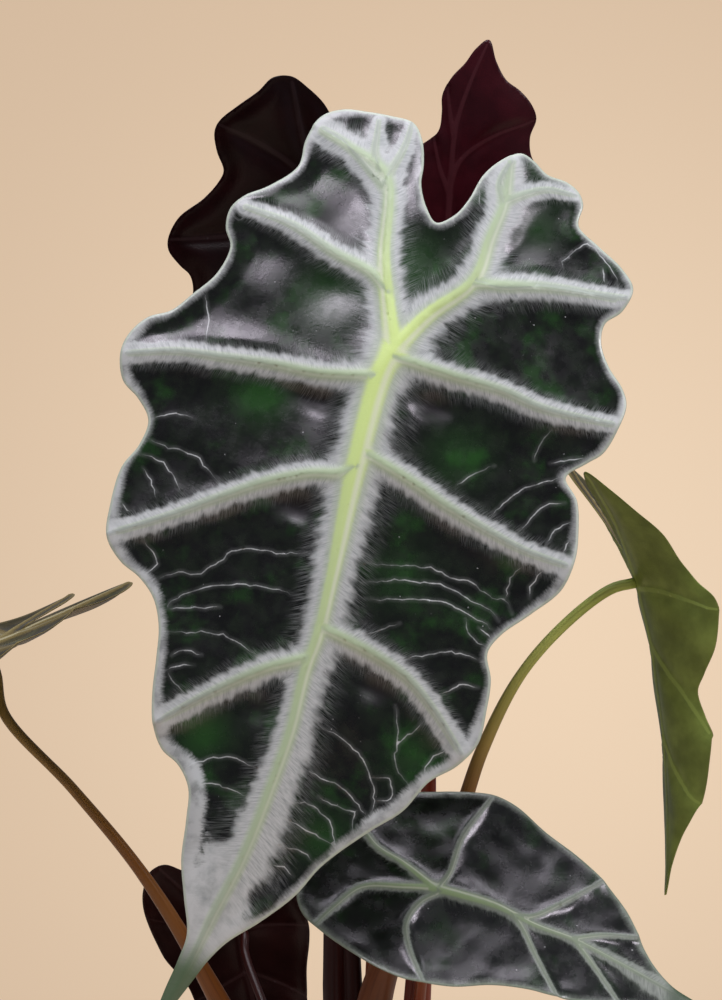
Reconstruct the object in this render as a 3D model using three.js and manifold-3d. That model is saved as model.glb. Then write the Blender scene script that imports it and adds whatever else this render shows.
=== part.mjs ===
// A potted alocasia polly: seven arrow-shaped leaves on fleshy petioles that rise from
// one rhizome in a plain terracotta pot. Millimetres, +Z up, the main leaf faces -Y,
// and the origin is the centre of the pot's flat underside.

import * as THREE from 'three';
import { mergeVertices } from 'three/addons/utils/BufferGeometryUtils.js';
import Module from 'manifold-3d';

// Pot
const POT_HEIGHT = 135;
const POT_FOOT_RADIUS = 50;
const POT_BODY_TOP_RADIUS = 68;
const POT_COLLAR_RADIUS = 75;
const POT_COLLAR_HEIGHT = 30;
const POT_COLLAR_WALL = 9;
const POT_WALL = 6;
const POT_FLOOR = 8;
const POT_EDGE = 2;
const POT_SIDES = 40;
const DRAIN_HOLE_RADIUS = 5;
const DRAIN_HOLE_CIRCLE = 26;
const DRAIN_HOLES = 3;

// Soil
const SOIL_LEVEL = 120;
const SOIL_CROWN_RISE = 4;
const SOIL_CROWN_RADIUS = 32;
const SOIL_LUMP = 1.2;
const SOIL_RINGS = [54, 42, 30, 18];

// Spaces between pieces that touch: all round, and round what stands in the soil
const CLEARANCE = 0.35;
const HOLE_CLEARANCE = 0.5;

// Rhizome and the ring of petioles that stand round it
const RHIZOME_RADIUS = 10;
const RHIZOME_FOOT = 88;
const RHIZOME_TOP = 141;
const RHIZOME_SIDES = 14;
const RHIZOME_RINGS = 4;
const RHIZOME_RING_DEPTH = 0.8;
const PETIOLE_RING_RADIUS = 18;
const PETIOLE_FOOT = 92;
const PETIOLE_STRAIGHT_TOP = 134;
const PETIOLE_BASE_RADIUS = 6.6;
const PETIOLE_SIDES = 8;
const PETIOLE_STEPS = 20;
const PETIOLE_STEP_BIAS = 1.4;
const PETIOLE_APPROACH = 9;
const PETIOLE_TOP_GAP = 0.95;

// Blades: thickness, spacing of the mesh's spokes and of the midrib nodes that they start
// from, and the spokes' rings as shares of their length
const BLADE_THICKNESS = 0.9;
const SPOKE_SPACING = 8.5;
const NODE_SPACING = 20;
const LAST_NODE = 0.9;
const NODE_BIAS = 1.25;
const SPOKE_RINGS = [0.24, 0.5, 0.78, 1];

// Relief of a blade of the full length: the fall below each rib and how near the rib it is
// deepest, the wave of the margin, and where both stand, as shares of the blade's length
// away from the midrib
const FULL_LENGTH = 200;
const QUILT_DEPTH = 3.2;
const QUILT_REACH = 0.22;
const QUILT_START = 0.07;
const QUILT_MIDDLE = 0.11;
const QUILT_WIDTH = 0.16;
const MARGIN_WAVE = 2.6;
const WAVE_START = 0.12;
const WAVE_FULL = 0.36;
const CREASE_RADIUS = 4;

// Each blade is drawn as if pressed flat, in millimetres: x runs across it and y along it
// from the petiole joint toward the tip, so basal lobes have negative y. The margin starts
// at the notch between the lobes and goes round by the negative x side. `joint` is where
// the petiole meets the blade, `tipward` and `face` are the directions of the blade's tip
// and of its upper face there. `tipSag`, `lobeSag` and `fold` bend it out of that plane.
const LEAVES = {
  main: {
    joint: [10.7, -92, 445], tipward: [-0.342, -0.143, -0.929], face: [-0.05, -0.985, 0.17],
    length: 238, tipSag: 25, lobeLength: 85, lobeSag: 16, fold: [-0.1, -0.1], shoulders: [25, -2],
    margin: [
      [-2, -48], [-7, -52], [-12, -60], [-14, -68], [-18, -77], [-23, -82], [-31, -82], [-39, -81],
      [-48, -79], [-54, -74], [-56, -64], [-55, -54], [-62, -43], [-68, -37], [-71, -31], [-70, -24],
      [-66, -18], [-67, -7], [-72, 2], [-77, 10], [-84, 15], [-88, 23], [-88, 30], [-84, 38],
      [-77, 42], [-71, 48], [-71, 57], [-74, 66], [-73, 79], [-70, 90], [-63, 96], [-55, 99],
      [-48, 104], [-43, 112], [-40, 122], [-37, 134], [-33, 144], [-28, 150], [-21, 153], [-15, 159],
      [-12, 169], [-9, 182], [-4, 193], [1, 204], [1, 213], [0, 225], [0, 238],
      [5, 225], [8, 216], [10, 210], [14, 202], [22, 192], [30, 180], [35, 168], [46, 152],
      [54, 142], [59, 130], [66, 122], [70, 113], [69, 102], [67, 92], [63, 84], [65, 77],
      [72, 67], [79, 56], [80, 45], [78, 36], [74, 26], [68, 20], [73, 13], [77, 8], [79, -1],
      [79, -10], [76, -15], [69, -21], [64, -28], [63, -35], [67, -41], [68, -50], [62, -56],
      [52, -61], [43, -66], [42, -74], [39, -78], [34, -80], [27, -80], [21, -83], [16, -84],
      [11, -79], [7, -71], [5.4, -60], [3, -53],
    ],
    midrib: [
      [0, 0], [-1, 10], [2, 43], [7, 79], [9, 97], [9, 110], [11, 130], [11, 151], [10, 175],
      [7, 196], [5, 213], [3, 225], [0, 238],
    ],
    lower: [
      [[0, 0], [-14, -29], [-25, -60], [-40, -66], [-52, -69]],
      [[-9, -19], [-17, -24], [-32, -27], [-49, -32], [-66, -33]],
      [[-3, 10], [-21, 15], [-37, 17], [-54, 20], [-70, 23], [-86, 29]],
      [[2, 41], [-3, 45], [-12, 48], [-26, 56], [-39, 66], [-53, 77], [-70, 89]],
      [[8, 106], [-4, 114], [-14, 123], [-22, 131], [-32, 142]],
    ],
    upper: [
      [[0, 0], [7, -16], [17, -33], [17, -50], [17, -65], [14, -79]],
      [[17, -32], [38, -39], [55, -43], [67, -46]],
      [[1, 2], [23, 1], [39, 0], [53, 1], [77, -2]],
      [[4, 36], [19, 39], [34, 43], [49, 46], [63, 48], [78, 48]],
      [[9, 95], [26, 97], [41, 101], [53, 108], [66, 118]],
    ],
  },
  lower_right: {
    joint: [25.5, -66, 261.6], tipward: [0.944, -0.157, -0.289], face: [0.05, -0.8, 0.6],
    length: 98, tipSag: 9, lobeLength: 45, lobeSag: 4, fold: [0.08, -0.05], shoulders: [2, 8],
    margin: [
      [3, -30], [-1, -39], [-9, -45], [-18, -44], [-25, -39], [-29, -31], [-33, -19], [-36, -8],
      [-37, 2], [-34, 16], [-28, 29], [-25, 41], [-24, 50], [-21, 62], [-17, 75], [-12, 87],
      [-7, 98], [-4, 87], [1, 79], [10, 71], [18, 64], [24, 56], [31, 43], [36, 30], [42, 17],
      [43, 8], [40, -5], [36, -17], [34, -28], [30, -37], [23, -43], [14, -43], [7, -38],
    ],
    midrib: [[0, 0], [1, 21], [-1, 36], [-1, 50], [-3, 67], [-6, 87], [-7, 98]],
    lower: [
      [[0, 0], [-3, -10], [-8, -24], [-18, -30], [-27, -34]],
      [[-1, 2], [-7, -3], [-16, -5], [-24, -2], [-36, 7]],
      [[0, 28], [-4, 33], [-12, 40], [-24, 51]],
      [[-2, 52], [-8, 60], [-18, 72]],
    ],
    upper: [
      [[0, 0], [6, -14], [9, -24], [17, -34], [22, -42]],
      [[0, 1], [7, 3], [23, 3], [42, 8]],
      [[0, 30], [2, 35], [11, 43], [25, 54]],
      [[-1, 50], [5, 60], [9, 71]],
    ],
  },
  upper_left: {
    joint: [-17, 55, 506.7], tipward: [-0.262, 0.227, -0.938], face: [-0.4, 0.859, 0.32],
    length: 150, tipSag: 18, lobeLength: 58, lobeSag: 8, fold: [-0.1, -0.1], shoulders: [8, 12],
    margin: [
      [1, -28], [-4, -36], [-10, -42], [-18, -43], [-26, -38], [-31, -30], [-36, -22], [-36, -14],
      [-34, -6], [-37, 2], [-42, 10], [-41, 20], [-36, 30], [-34, 40], [-37, 50], [-39, 60],
      [-36, 70], [-30, 80], [-27, 90], [-26, 100], [-20, 112], [-13, 124], [-6, 138], [0, 150],
      [5, 140], [12, 130], [20, 118], [28, 106], [32, 94], [34, 84], [40, 76], [48, 66], [50, 56],
      [47, 46], [47, 37], [50, 31], [55, 28], [61, 23], [62, 18], [60, 10], [52, 1], [48, -6],
      [47, -11], [52, -18], [55, -25], [54, -30], [49, -37], [43, -44], [39, -50], [31, -52],
      [22, -49], [14, -45], [9, -41], [4, -36],
    ],
    midrib: [[0, 0], [1, 30], [2, 70], [1, 110], [0, 150]],
    lower: [
      [[0, 0], [-8, -14], [-16, -27], [-19, -41]],
      [[-5, -9], [-16, -13], [-25, -16], [-35, -18]],
      [[0, 4], [-14, 8], [-28, 12], [-41, 15]],
      [[1, 28], [-12, 36], [-26, 48], [-38, 59]],
      [[2, 60], [-8, 72], [-18, 86], [-26, 99]],
    ],
    upper: [
      [[0, 0], [9, -16], [20, -33], [30, -50]],
      [[7, -12], [22, -20], [38, -25], [54, -28]],
      [[0, 3], [20, 8], [40, 14], [61, 19]],
      [[1, 27], [16, 36], [33, 48], [49, 58]],
      [[2, 60], [12, 74], [22, 88], [31, 98]],
    ],
  },
  upper_right: {
    joint: [30.9, 20, 464.4], tipward: [0.186, -0.296, 0.937], face: [0, 0.954, 0.301],
    length: 105, tipSag: -8, lobeLength: 43, lobeSag: 5, fold: [0.1, 0.1], shoulders: [5, 5],
    margin: [
      [0, -24], [-4, -30], [-9, -38], [-17, -43], [-25, -40], [-31, -31], [-33, -20], [-37, -10],
      [-42, 0], [-42, 10], [-37, 20], [-35, 28], [-37, 38], [-36, 48], [-29, 56], [-21, 62],
      [-15, 69], [-15, 76], [-16, 82], [-14, 89], [-10, 95], [-7, 101], [-3, 105], [1, 98],
      [6, 92], [12, 89], [17, 85], [20, 80], [19, 73], [21, 66], [27, 60], [33, 52], [36, 42],
      [34, 34], [35, 26], [41, 16], [43, 6], [40, -4], [35, -10], [34, -18], [31, -28], [25, -36],
      [17, -40], [9, -37], [4, -30],
    ],
    midrib: [[0, 0], [-4, 30], [-7, 51], [-9, 72], [-7, 88], [-3, 105]],
    lower: [
      [[0, 0], [-8, -14], [-14, -27], [-19, -42]],
      [[0, 3], [-14, 4], [-28, 5], [-41, 6]],
      [[-3, 22], [-14, 28], [-26, 37], [-36, 46]],
      [[-6, 46], [-12, 56], [-17, 68]],
      [[-9, 68], [-12, 76], [-15, 86]],
    ],
    upper: [
      [[0, 0], [8, -13], [14, -26], [19, -40]],
      [[0, 3], [14, 4], [28, 6], [42, 8]],
      [[-3, 22], [10, 30], [22, 38], [34, 48]],
      [[-7, 49], [-5, 60], [4, 70], [19, 79]],
    ],
  },
  right: {
    joint: [101.5, -15, 365], tipward: [0.25, 0, -0.97], face: [0.95, 0.12, 0.25],
    length: 113, tipSag: 19, lobeLength: 45, lobeSag: 16, fold: [0.5, 0.5], shoulders: [4, 6],
    margin: [
      [0, -12], [-2.5, -20], [-5, -30], [-8, -40], [-12, -44], [-17, -36], [-22, -26], [-27, -16],
      [-28, -5], [-32, 3], [-38, 10], [-38, 17], [-35, 27], [-27, 36], [-22, 42], [-24, 51],
      [-27, 59], [-25, 69], [-18, 84], [-10, 93], [-4, 103], [0, 113], [8, 103], [16, 92], [23, 80],
      [28, 68], [31, 57], [28, 47], [29, 37], [35, 26], [38, 14], [38, 5], [31, -3], [26, -12],
      [28, -24], [26, -36], [20, -46], [13, -48], [7, -42], [4, -31], [2, -20],
    ],
    midrib: [[0, 0], [0, 40], [0, 80], [0, 113]],
    lower: [
      [[0, 0], [-5, -15], [-9, -29], [-11, -43]],
      [[0, 2], [-13, 4], [-26, 9], [-38, 14]],
      [[0, 22], [-9, 33], [-18, 44], [-26, 57]],
      [[0, 56], [-6, 66], [-13, 75], [-19, 81]],
    ],
    upper: [
      [[0, 0], [6, -16], [11, -31], [15, -46]],
      [[0, 2], [13, 3], [26, 6], [38, 10]],
      [[0, 22], [11, 32], [21, 43], [30, 55]],
      [[0, 56], [8, 66], [15, 74], [22, 80]],
    ],
  },
  left: {
    joint: [-137, -25, 342], tipward: [-0.751, -0.501, -0.431], face: [-0.427, -0.129, 0.895],
    length: 150, tipSag: 34, lobeLength: 50, lobeSag: 3, fold: [0.05, 0.05], shoulders: [8, 8],
    margin: [
      [0, -20], [-5, -30], [-12, -42], [-21, -50], [-30, -51], [-36, -44], [-39, -32], [-41, -18],
      [-47, -8], [-55, 2], [-57, 12], [-52, 24], [-48, 34], [-50, 46], [-48, 60], [-40, 72],
      [-33, 84], [-32, 96], [-26, 108], [-17, 124], [-8, 138], [0, 150], [9, 137], [18, 122],
      [27, 106], [31, 94], [33, 83], [42, 70], [49, 57], [49, 45], [46, 34], [51, 23], [56, 11],
      [54, 1], [46, -8], [40, -18], [39, -32], [36, -44], [29, -51], [20, -50], [12, -42], [5, -30],
    ],
    midrib: [[0, 0], [1, 40], [2, 80], [1, 120], [0, 150]],
    lower: [
      [[0, 0], [-9, -16], [-18, -33], [-26, -50]],
      [[-6, -12], [-18, -15], [-30, -18], [-40, -22]],
      [[0, 3], [-19, 5], [-38, 8], [-56, 10]],
      [[1, 28], [-14, 34], [-32, 45], [-49, 55]],
      [[2, 62], [-8, 72], [-20, 84], [-31, 97]],
    ],
    upper: [
      [[0, 0], [9, -16], [18, -33], [26, -50]],
      [[6, -12], [18, -15], [30, -18], [39, -22]],
      [[0, 3], [19, 5], [38, 8], [55, 9]],
      [[1, 28], [15, 34], [33, 44], [49, 53]],
      [[2, 62], [10, 72], [21, 84], [31, 95]],
    ],
  },
  lower_left: {
    joint: [-49.5, 70, 224], tipward: [0.15, 0.254, -0.956], face: [-0.301, 0.932, 0.201],
    length: 82, tipSag: 8, lobeLength: 36, lobeSag: 4, fold: [-0.1, -0.1], shoulders: [2, -4],
    margin: [
      [-2, -12], [-5, -17], [-9, -24], [-15, -31], [-22, -32], [-27, -25], [-26, -15], [-25, -6],
      [-27, 1], [-28, 7], [-27, 13], [-24, 24], [-22, 37], [-19, 50], [-14, 62], [-8, 74],
      [-1, 82], [5, 72], [12, 60], [18, 48], [22, 36], [23, 27], [25, 18], [29, 10], [32, 4],
      [34, -3], [36, -12], [37, -21], [36, -28], [32, -35], [26, -36], [19, -31], [12, -26], [4, -18],
    ],
    midrib: [[0, 0], [0, 30], [-1, 60], [-1, 82]],
    lower: [
      [[0, 0], [-7, -10], [-14, -20], [-19, -31]],
      [[0, 2], [-10, 2], [-19, 4], [-28, 7]],
      [[0, 20], [-8, 25], [-16, 31], [-23, 38]],
      [[0, 42], [-6, 50], [-14, 60]],
    ],
    upper: [
      [[0, 0], [10, -11], [20, -23], [28, -35]],
      [[0, 2], [12, -2], [23, -8], [36, -15]],
      [[0, 20], [9, 22], [17, 24], [24, 26]],
      [[0, 42], [6, 48], [14, 56]],
    ],
  },
};

// Petioles: the compass angle of each base on the ring, the points it passes on its way up,
// and the half widths of its sheath and stalk, across and through, along its length.
const PETIOLES = {
  main: {
    angle: 24, route: [[21, 4, 205], [25, -8, 292], [23, -32, 380], [16, -62, 438]],
    widths: [[6.6, 6.6], [5.6, 5], [3.6, 3.4], [2.4, 2.4], [2.2, 2.2], [2.4, 2.4]],
  },
  lower_right: {
    angle: -22, route: [[19, -14, 165], [21, -32, 215], [24, -50, 246]],
    widths: [[6.6, 6.6], [5.2, 4.6], [3.4, 3], [2.4, 2.4], [2.1, 2.1], [2.2, 2.2]],
  },
  upper_left: {
    angle: 116, route: [[-7, 18, 205], [-10, 22, 300], [-14, 25, 410], [-17, 36, 482]],
    widths: [[6.6, 6.6], [8, 5], [5, 4], [3.2, 3], [2.3, 2.3], [2.3, 2.3]],
  },
  upper_right: {
    angle: 70, route: [[6, 15, 200], [10, 8, 300], [22, 2, 400], [29, 7, 452]],
    widths: [[6.6, 6.6], [5, 4.6], [3.4, 3.2], [2.4, 2.4], [2, 2], [2.1, 2.1]],
  },
  right: {
    angle: -72,
    route: [[4, -20, 207], [15, -23, 240], [31, -24, 267], [44, -22, 304], [58, -20, 331], [75, -17, 350]],
    widths: [[6.6, 6.6], [8, 5.4], [5, 4.2], [3.2, 3.2], [2.2, 2.2], [2.3, 2.3]],
  },
  left: {
    angle: -150,
    route: [[-30, -12, 165], [-54, -14, 215], [-79, -20, 258], [-104, -25, 290], [-129, -27, 318]],
    widths: [[6.6, 6.6], [6, 4.8], [3.8, 3.6], [2.6, 2.6], [2.1, 2.1], [2.3, 2.3]],
  },
  lower_left: {
    angle: 162, route: [[-24, 18, 165], [-37, 38, 196], [-46, 56, 216]],
    widths: [[6.6, 6.6], [4.8, 4], [3, 2.8], [2.1, 2.1], [1.9, 1.9], [2, 2]],
  },
};

const MATERIALS = {
  terracotta: new THREE.MeshStandardMaterial({ color: 0xb2623f, roughness: 0.9, metalness: 0 }),
  soil: new THREE.MeshStandardMaterial({ color: 0x2b1c12, roughness: 1, metalness: 0 }),
  rhizome: new THREE.MeshStandardMaterial({ color: 0x6b4a34, roughness: 0.85, metalness: 0 }),
  blade: new THREE.MeshStandardMaterial({ color: 0x1d3a22, roughness: 0.4, metalness: 0 }),
  petiole: new THREE.MeshStandardMaterial({ color: 0x6e3a26, roughness: 0.5, metalness: 0 }),
};

const wasm = await Module();
wasm.setup();

// A closed three.js geometry as a solid that can be cut
function toSolid(geometry) {
  const merged = mergeVertices(bareOf(geometry.clone()), 1e-4);
  return new wasm.Manifold(new wasm.Mesh({
    numProp: 3,
    vertProperties: new Float32Array(merged.attributes.position.array),
    triVerts: new Uint32Array(merged.index.array),
  }));
}

function fromSolid(solid) {
  const mesh = solid.getMesh();
  const geometry = new THREE.BufferGeometry();
  geometry.setAttribute('position', new THREE.BufferAttribute(mesh.vertProperties, 3));
  geometry.setIndex(new THREE.BufferAttribute(mesh.triVerts, 1));
  return geometry;
}

function geometryFrom(vertices, triangles) {
  const geometry = new THREE.BufferGeometry();
  geometry.setAttribute('position', new THREE.Float32BufferAttribute(vertices.flat(), 3));
  geometry.setIndex(triangles.flat());
  return geometry;
}

// A profile of [radius, height] pairs spun round the Z axis, listed from the foot up
function spun(profile, sides) {
  const points = profile.map(([radius, height]) => new THREE.Vector2(radius, height));
  return new THREE.LatheGeometry(points, sides).rotateX(Math.PI / 2);
}

function uprightCylinder(radius, foot, top, sides, x = 0, y = 0) {
  const cylinder = new THREE.CylinderGeometry(radius, radius, top - foot, sides);
  return cylinder.rotateX(Math.PI / 2).translate(x, y, (foot + top) / 2);
}

// A place on a circle round the Z axis, by its compass angle in degrees
function onCircle(radius, degrees) {
  const angle = THREE.MathUtils.degToRad(degrees);
  return [radius * Math.cos(angle), radius * Math.sin(angle)];
}

// Pot: tapered body, thick collar, drain holes off the middle
function potGeometry() {
  const collarFoot = POT_HEIGHT - POT_COLLAR_HEIGHT;
  const innerRim = POT_COLLAR_RADIUS - POT_COLLAR_WALL;
  let solid = toSolid(spun([
    [0, 0], [POT_FOOT_RADIUS - POT_EDGE, 0], [POT_FOOT_RADIUS, POT_EDGE],
    [POT_BODY_TOP_RADIUS, collarFoot], [POT_COLLAR_RADIUS - POT_EDGE, collarFoot],
    [POT_COLLAR_RADIUS, collarFoot + POT_EDGE], [POT_COLLAR_RADIUS, POT_HEIGHT - POT_EDGE],
    [POT_COLLAR_RADIUS - POT_EDGE, POT_HEIGHT], [innerRim + POT_EDGE, POT_HEIGHT],
    [innerRim, POT_HEIGHT - POT_EDGE], [POT_BODY_TOP_RADIUS - POT_WALL, collarFoot],
    [POT_FOOT_RADIUS - POT_WALL, POT_FLOOR], [0, POT_FLOOR],
  ], POT_SIDES));
  for (let k = 0; k < DRAIN_HOLES; k += 1) {
    const [x, y] = onCircle(DRAIN_HOLE_CIRCLE, 90 + (k * 360) / DRAIN_HOLES);
    const cutter = uprightCylinder(DRAIN_HOLE_RADIUS, -POT_FLOOR, 2 * POT_FLOOR, 16, x, y);
    solid = solid.subtract(toSolid(cutter));
  }
  return fromSolid(solid);
}

// The ground under the plant rises to the crown and is a little uneven
function soilTop(x, y) {
  const mound = SOIL_CROWN_RISE * Math.exp(-((Math.hypot(x, y) / SOIL_CROWN_RADIUS) ** 2));
  const lumps = Math.sin(x * 0.23 + 1.1) * Math.cos(y * 0.19) + 0.6 * Math.sin(x * 0.11 - y * 0.31);
  return SOIL_LEVEL + mound + SOIL_LUMP * lumps;
}

// Inner radius of the pot at a height, for the soil that fills it
function potInside(height) {
  const collarFoot = POT_HEIGHT - POT_COLLAR_HEIGHT;
  const foot = POT_FOOT_RADIUS - POT_WALL;
  const waist = POT_BODY_TOP_RADIUS - POT_WALL;
  const rim = POT_COLLAR_RADIUS - POT_COLLAR_WALL;
  if (height > collarFoot) {
    return waist + ((rim - waist) * (height - collarFoot)) / (POT_COLLAR_HEIGHT - POT_EDGE);
  }
  return foot + ((waist - foot) * (height - POT_FLOOR)) / (collarFoot - POT_FLOOR);
}

// Soil: fills the pot up to its level, with plain holes for what stands in it
function soilGeometry() {
  const foot = POT_FLOOR + CLEARANCE;
  const collarFoot = POT_HEIGHT - POT_COLLAR_HEIGHT;
  const top = SOIL_LEVEL;
  const edge = top - 1;
  const profile = [
    [0, foot], [potInside(foot) - CLEARANCE, foot], [potInside(collarFoot) - CLEARANCE, collarFoot],
    [potInside(edge) - CLEARANCE, edge], ...SOIL_RINGS.map((radius) => [radius, top]), [0, top],
  ];
  const geometry = mergeVertices(bareOf(spun(profile, POT_SIDES)), 1e-4);
  const position = geometry.attributes.position;
  for (let i = 0; i < position.count; i += 1) {
    if (position.getZ(i) > edge + 0.5) {
      position.setZ(i, soilTop(position.getX(i), position.getY(i)));
    }
  }
  let solid = toSolid(geometry);
  for (const hole of soilHoles()) {
    solid = solid.subtract(toSolid(hole));
  }
  return fromSolid(solid);
}

// Plain round holes in the soil for the rhizome and the petioles
function soilHoles() {
  const holeTop = SOIL_LEVEL + 40;
  const crown = uprightCylinder(RHIZOME_RADIUS + HOLE_CLEARANCE, RHIZOME_FOOT - CLEARANCE, holeTop,
    RHIZOME_SIDES);
  const stems = Object.values(PETIOLES).map(({ angle }) => uprightCylinder(
    PETIOLE_BASE_RADIUS + HOLE_CLEARANCE, PETIOLE_FOOT - CLEARANCE, holeTop, 2 * PETIOLE_SIDES,
    ...onCircle(PETIOLE_RING_RADIUS, angle)));
  return [crown, ...stems];
}

function bareOf(geometry) {
  geometry.deleteAttribute('normal');
  geometry.deleteAttribute('uv');
  return geometry;
}

// Rhizome: a short ringed stub with a blunt growing point
function rhizomeGeometry() {
  const profile = [[0, RHIZOME_FOOT], [RHIZOME_RADIUS - 3, RHIZOME_FOOT]];
  const barkFoot = RHIZOME_FOOT + 3;
  const barkTop = RHIZOME_TOP - 9;
  const step = (barkTop - barkFoot) / RHIZOME_RINGS;
  for (let k = 0; k < RHIZOME_RINGS; k += 1) {
    profile.push([RHIZOME_RADIUS, barkFoot + k * step]);
    profile.push([RHIZOME_RADIUS - RHIZOME_RING_DEPTH, barkFoot + (k + 0.8) * step]);
  }
  profile.push([RHIZOME_RADIUS - 1, barkTop], [RHIZOME_RADIUS - 4, RHIZOME_TOP - 4], [0, RHIZOME_TOP]);
  return spun(profile, RHIZOME_SIDES);
}

// Straight line between listed points, by distance along the list from 0 to 1
function along(points, fraction) {
  const place = fraction * (points.length - 1);
  const k = Math.min(Math.floor(place), points.length - 2);
  return points[k].map((value, axis) => value + (points[k + 1][axis] - value) * (place - k));
}

// The frame of a blade at its petiole joint
function bladeFrame(leaf) {
  const tipward = new THREE.Vector3(...leaf.tipward).normalize();
  const face = new THREE.Vector3(...leaf.face);
  face.addScaledVector(tipward, -face.dot(tipward)).normalize();
  const across = new THREE.Vector3().crossVectors(face, tipward);
  return { joint: new THREE.Vector3(...leaf.joint), tipward, face, across };
}

// Distance from a point of the pressed blade to a rib, positive on the tip's side of it
function ribDistance(rib, x, y, outward) {
  let best = Infinity;
  let side = 1;
  for (let k = 0; k + 1 < rib.length; k += 1) {
    const [ax, ay] = rib[k];
    const dx = rib[k + 1][0] - ax;
    const dy = rib[k + 1][1] - ay;
    const u = THREE.MathUtils.clamp(((x - ax) * dx + (y - ay) * dy) / (dx * dx + dy * dy), 0, 1);
    const distance = Math.hypot(x - ax - u * dx, y - ay - u * dy);
    if (distance < best) {
      best = distance;
      side = Math.sign(dx * (y - ay) - dy * (x - ax)) * outward || 1;
    }
  }
  return best * side;
}

// How far the midrib runs to one side of the straight line from joint to tip
function midribOffset(leaf, y) {
  const rib = leaf.midrib;
  for (let k = 0; k + 1 < rib.length; k += 1) {
    if (y <= rib[k + 1][1]) {
      const u = THREE.MathUtils.clamp((y - rib[k][1]) / (rib[k + 1][1] - rib[k][1]), 0, 1);
      return rib[k][0] + (rib[k + 1][0] - rib[k][0]) * u;
    }
  }
  return rib[rib.length - 1][0];
}

// The panel between two ribs falls away steeply below the upper rib and climbs slowly
// to the next one. The fall is deepest near the midrib, and the margin waves with it.
function quilting(leaf, x, y) {
  const offset = x - midribOffset(leaf, Math.max(y, 0));
  const outward = offset < 0 ? -1 : 1;
  const ribs = offset < 0 ? leaf.lower : leaf.upper;
  const fromMidrib = Math.abs(ribDistance(leaf.midrib, x, y, 1));
  const distances = ribs.map((rib) => ribDistance(rib, x, y, outward));
  const sizes = distances.map(Math.abs);
  const nearest = sizes.indexOf(Math.min(...sizes));
  const above = distances[nearest] > 0 ? nearest : nearest - 1;
  if (above < 0) {
    return 0;
  }
  const here = sizes[above];
  const next = above + 1 < ribs.length ? sizes[above + 1] : fromMidrib;
  const across = here / (here + next + 1e-6);
  const share = fromMidrib / leaf.length;
  const fall = (across / QUILT_REACH) * Math.exp(1 - across / QUILT_REACH);
  const fallThere = THREE.MathUtils.smoothstep(share, 0, QUILT_START)
    * Math.exp(-(((share - QUILT_MIDDLE) / QUILT_WIDTH) ** 2));
  const wave = Math.sin(Math.PI * across);
  const waveThere = THREE.MathUtils.smoothstep(share, WAVE_START, WAVE_FULL);
  const size = Math.min(1, leaf.length / FULL_LENGTH);
  return -size * (QUILT_DEPTH * fall * fallThere + MARGIN_WAVE * wave * waveThere);
}

// Height of a pressed blade's point above the plane through its joint
function bladeRise(leaf, x, y) {
  const sag = y > 0
    ? leaf.tipSag * (y / leaf.length) ** 2
    : leaf.lobeSag * (-y / leaf.lobeLength) ** 1.5;
  const slope = x < 0 ? leaf.fold[0] : leaf.fold[1];
  return slope * (Math.hypot(x, CREASE_RADIUS) - CREASE_RADIUS) - sag + quilting(leaf, x, y);
}

// A blade: spokes run from the midrib to the margin, and both faces share their triangles
function bladeGeometry(leaf) {
  const margin = new THREE.CatmullRomCurve3(
    leaf.margin.map(([x, y]) => new THREE.Vector3(x, y, 0)), true, 'centripetal');
  const edge = marginPoints(margin, leaf);
  const lastNode = Math.round(leaf.length / NODE_SPACING);
  const nodes = [];
  for (let k = 0; k <= lastNode; k += 1) {
    const y = (leaf.length * LAST_NODE * k) / lastNode;
    nodes.push([midribOffset(leaf, y), y]);
  }
  const feet = spokeFeet(edge, leaf, lastNode);
  const flat = [...nodes];
  edge.forEach(([x, y], i) => {
    const [fx, fy] = nodes[feet[i]];
    SPOKE_RINGS.forEach((ring) => flat.push([fx + (x - fx) * ring, fy + (y - fy) * ring]));
  });
  const rings = SPOKE_RINGS.length;
  const spokeVertex = (i, ring) => (ring < 0
    ? feet[i % edge.length]
    : nodes.length + (i % edge.length) * rings + ring);
  const faces = [];
  for (let i = 0; i < edge.length; i += 1) {
    for (let ring = -1; ring < rings - 1; ring += 1) {
      const [a, b] = [spokeVertex(i, ring), spokeVertex(i + 1, ring)];
      const [c, d] = [spokeVertex(i + 1, ring + 1), spokeVertex(i, ring + 1)];
      if (a === b) {
        faces.push([a, c, d]);
      } else {
        faces.push([a, b, c], [a, c, d]);
      }
    }
  }
  const frame = bladeFrame(leaf);
  const placed = (thickness) => flat.map(([x, y]) => frame.joint.clone()
    .addScaledVector(frame.across, x)
    .addScaledVector(frame.tipward, y)
    .addScaledVector(frame.face, bladeRise(leaf, x, y) - thickness)
    .toArray());
  const count = flat.length;
  const vertices = [...placed(0), ...placed(BLADE_THICKNESS)];
  const triangles = [];
  for (const [a, b, c] of faces) {
    triangles.push([a, c, b], [a + count, b + count, c + count]);
  }
  for (let i = 0; i < edge.length; i += 1) {
    const a = spokeVertex(i, rings - 1);
    const b = spokeVertex(i + 1, rings - 1);
    triangles.push([b, a, a + count], [b, a + count, b + count]);
  }
  return geometryFrom(vertices, triangles);
}

// Evenly spaced points of the margin from the notch round to the notch, with the tip kept
function marginPoints(margin, leaf) {
  const spokes = Math.round(margin.getLength() / SPOKE_SPACING);
  const points = margin.getSpacedPoints(spokes).slice(0, -1).map((p) => [p.x, p.y]);
  let nearest = 0;
  const [tipX, tipY] = leaf.midrib[leaf.midrib.length - 1];
  points.forEach(([, y], i) => {
    if (y > points[nearest][1]) {
      nearest = i;
    }
  });
  points[nearest] = [tipX, tipY];
  return points;
}

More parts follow.
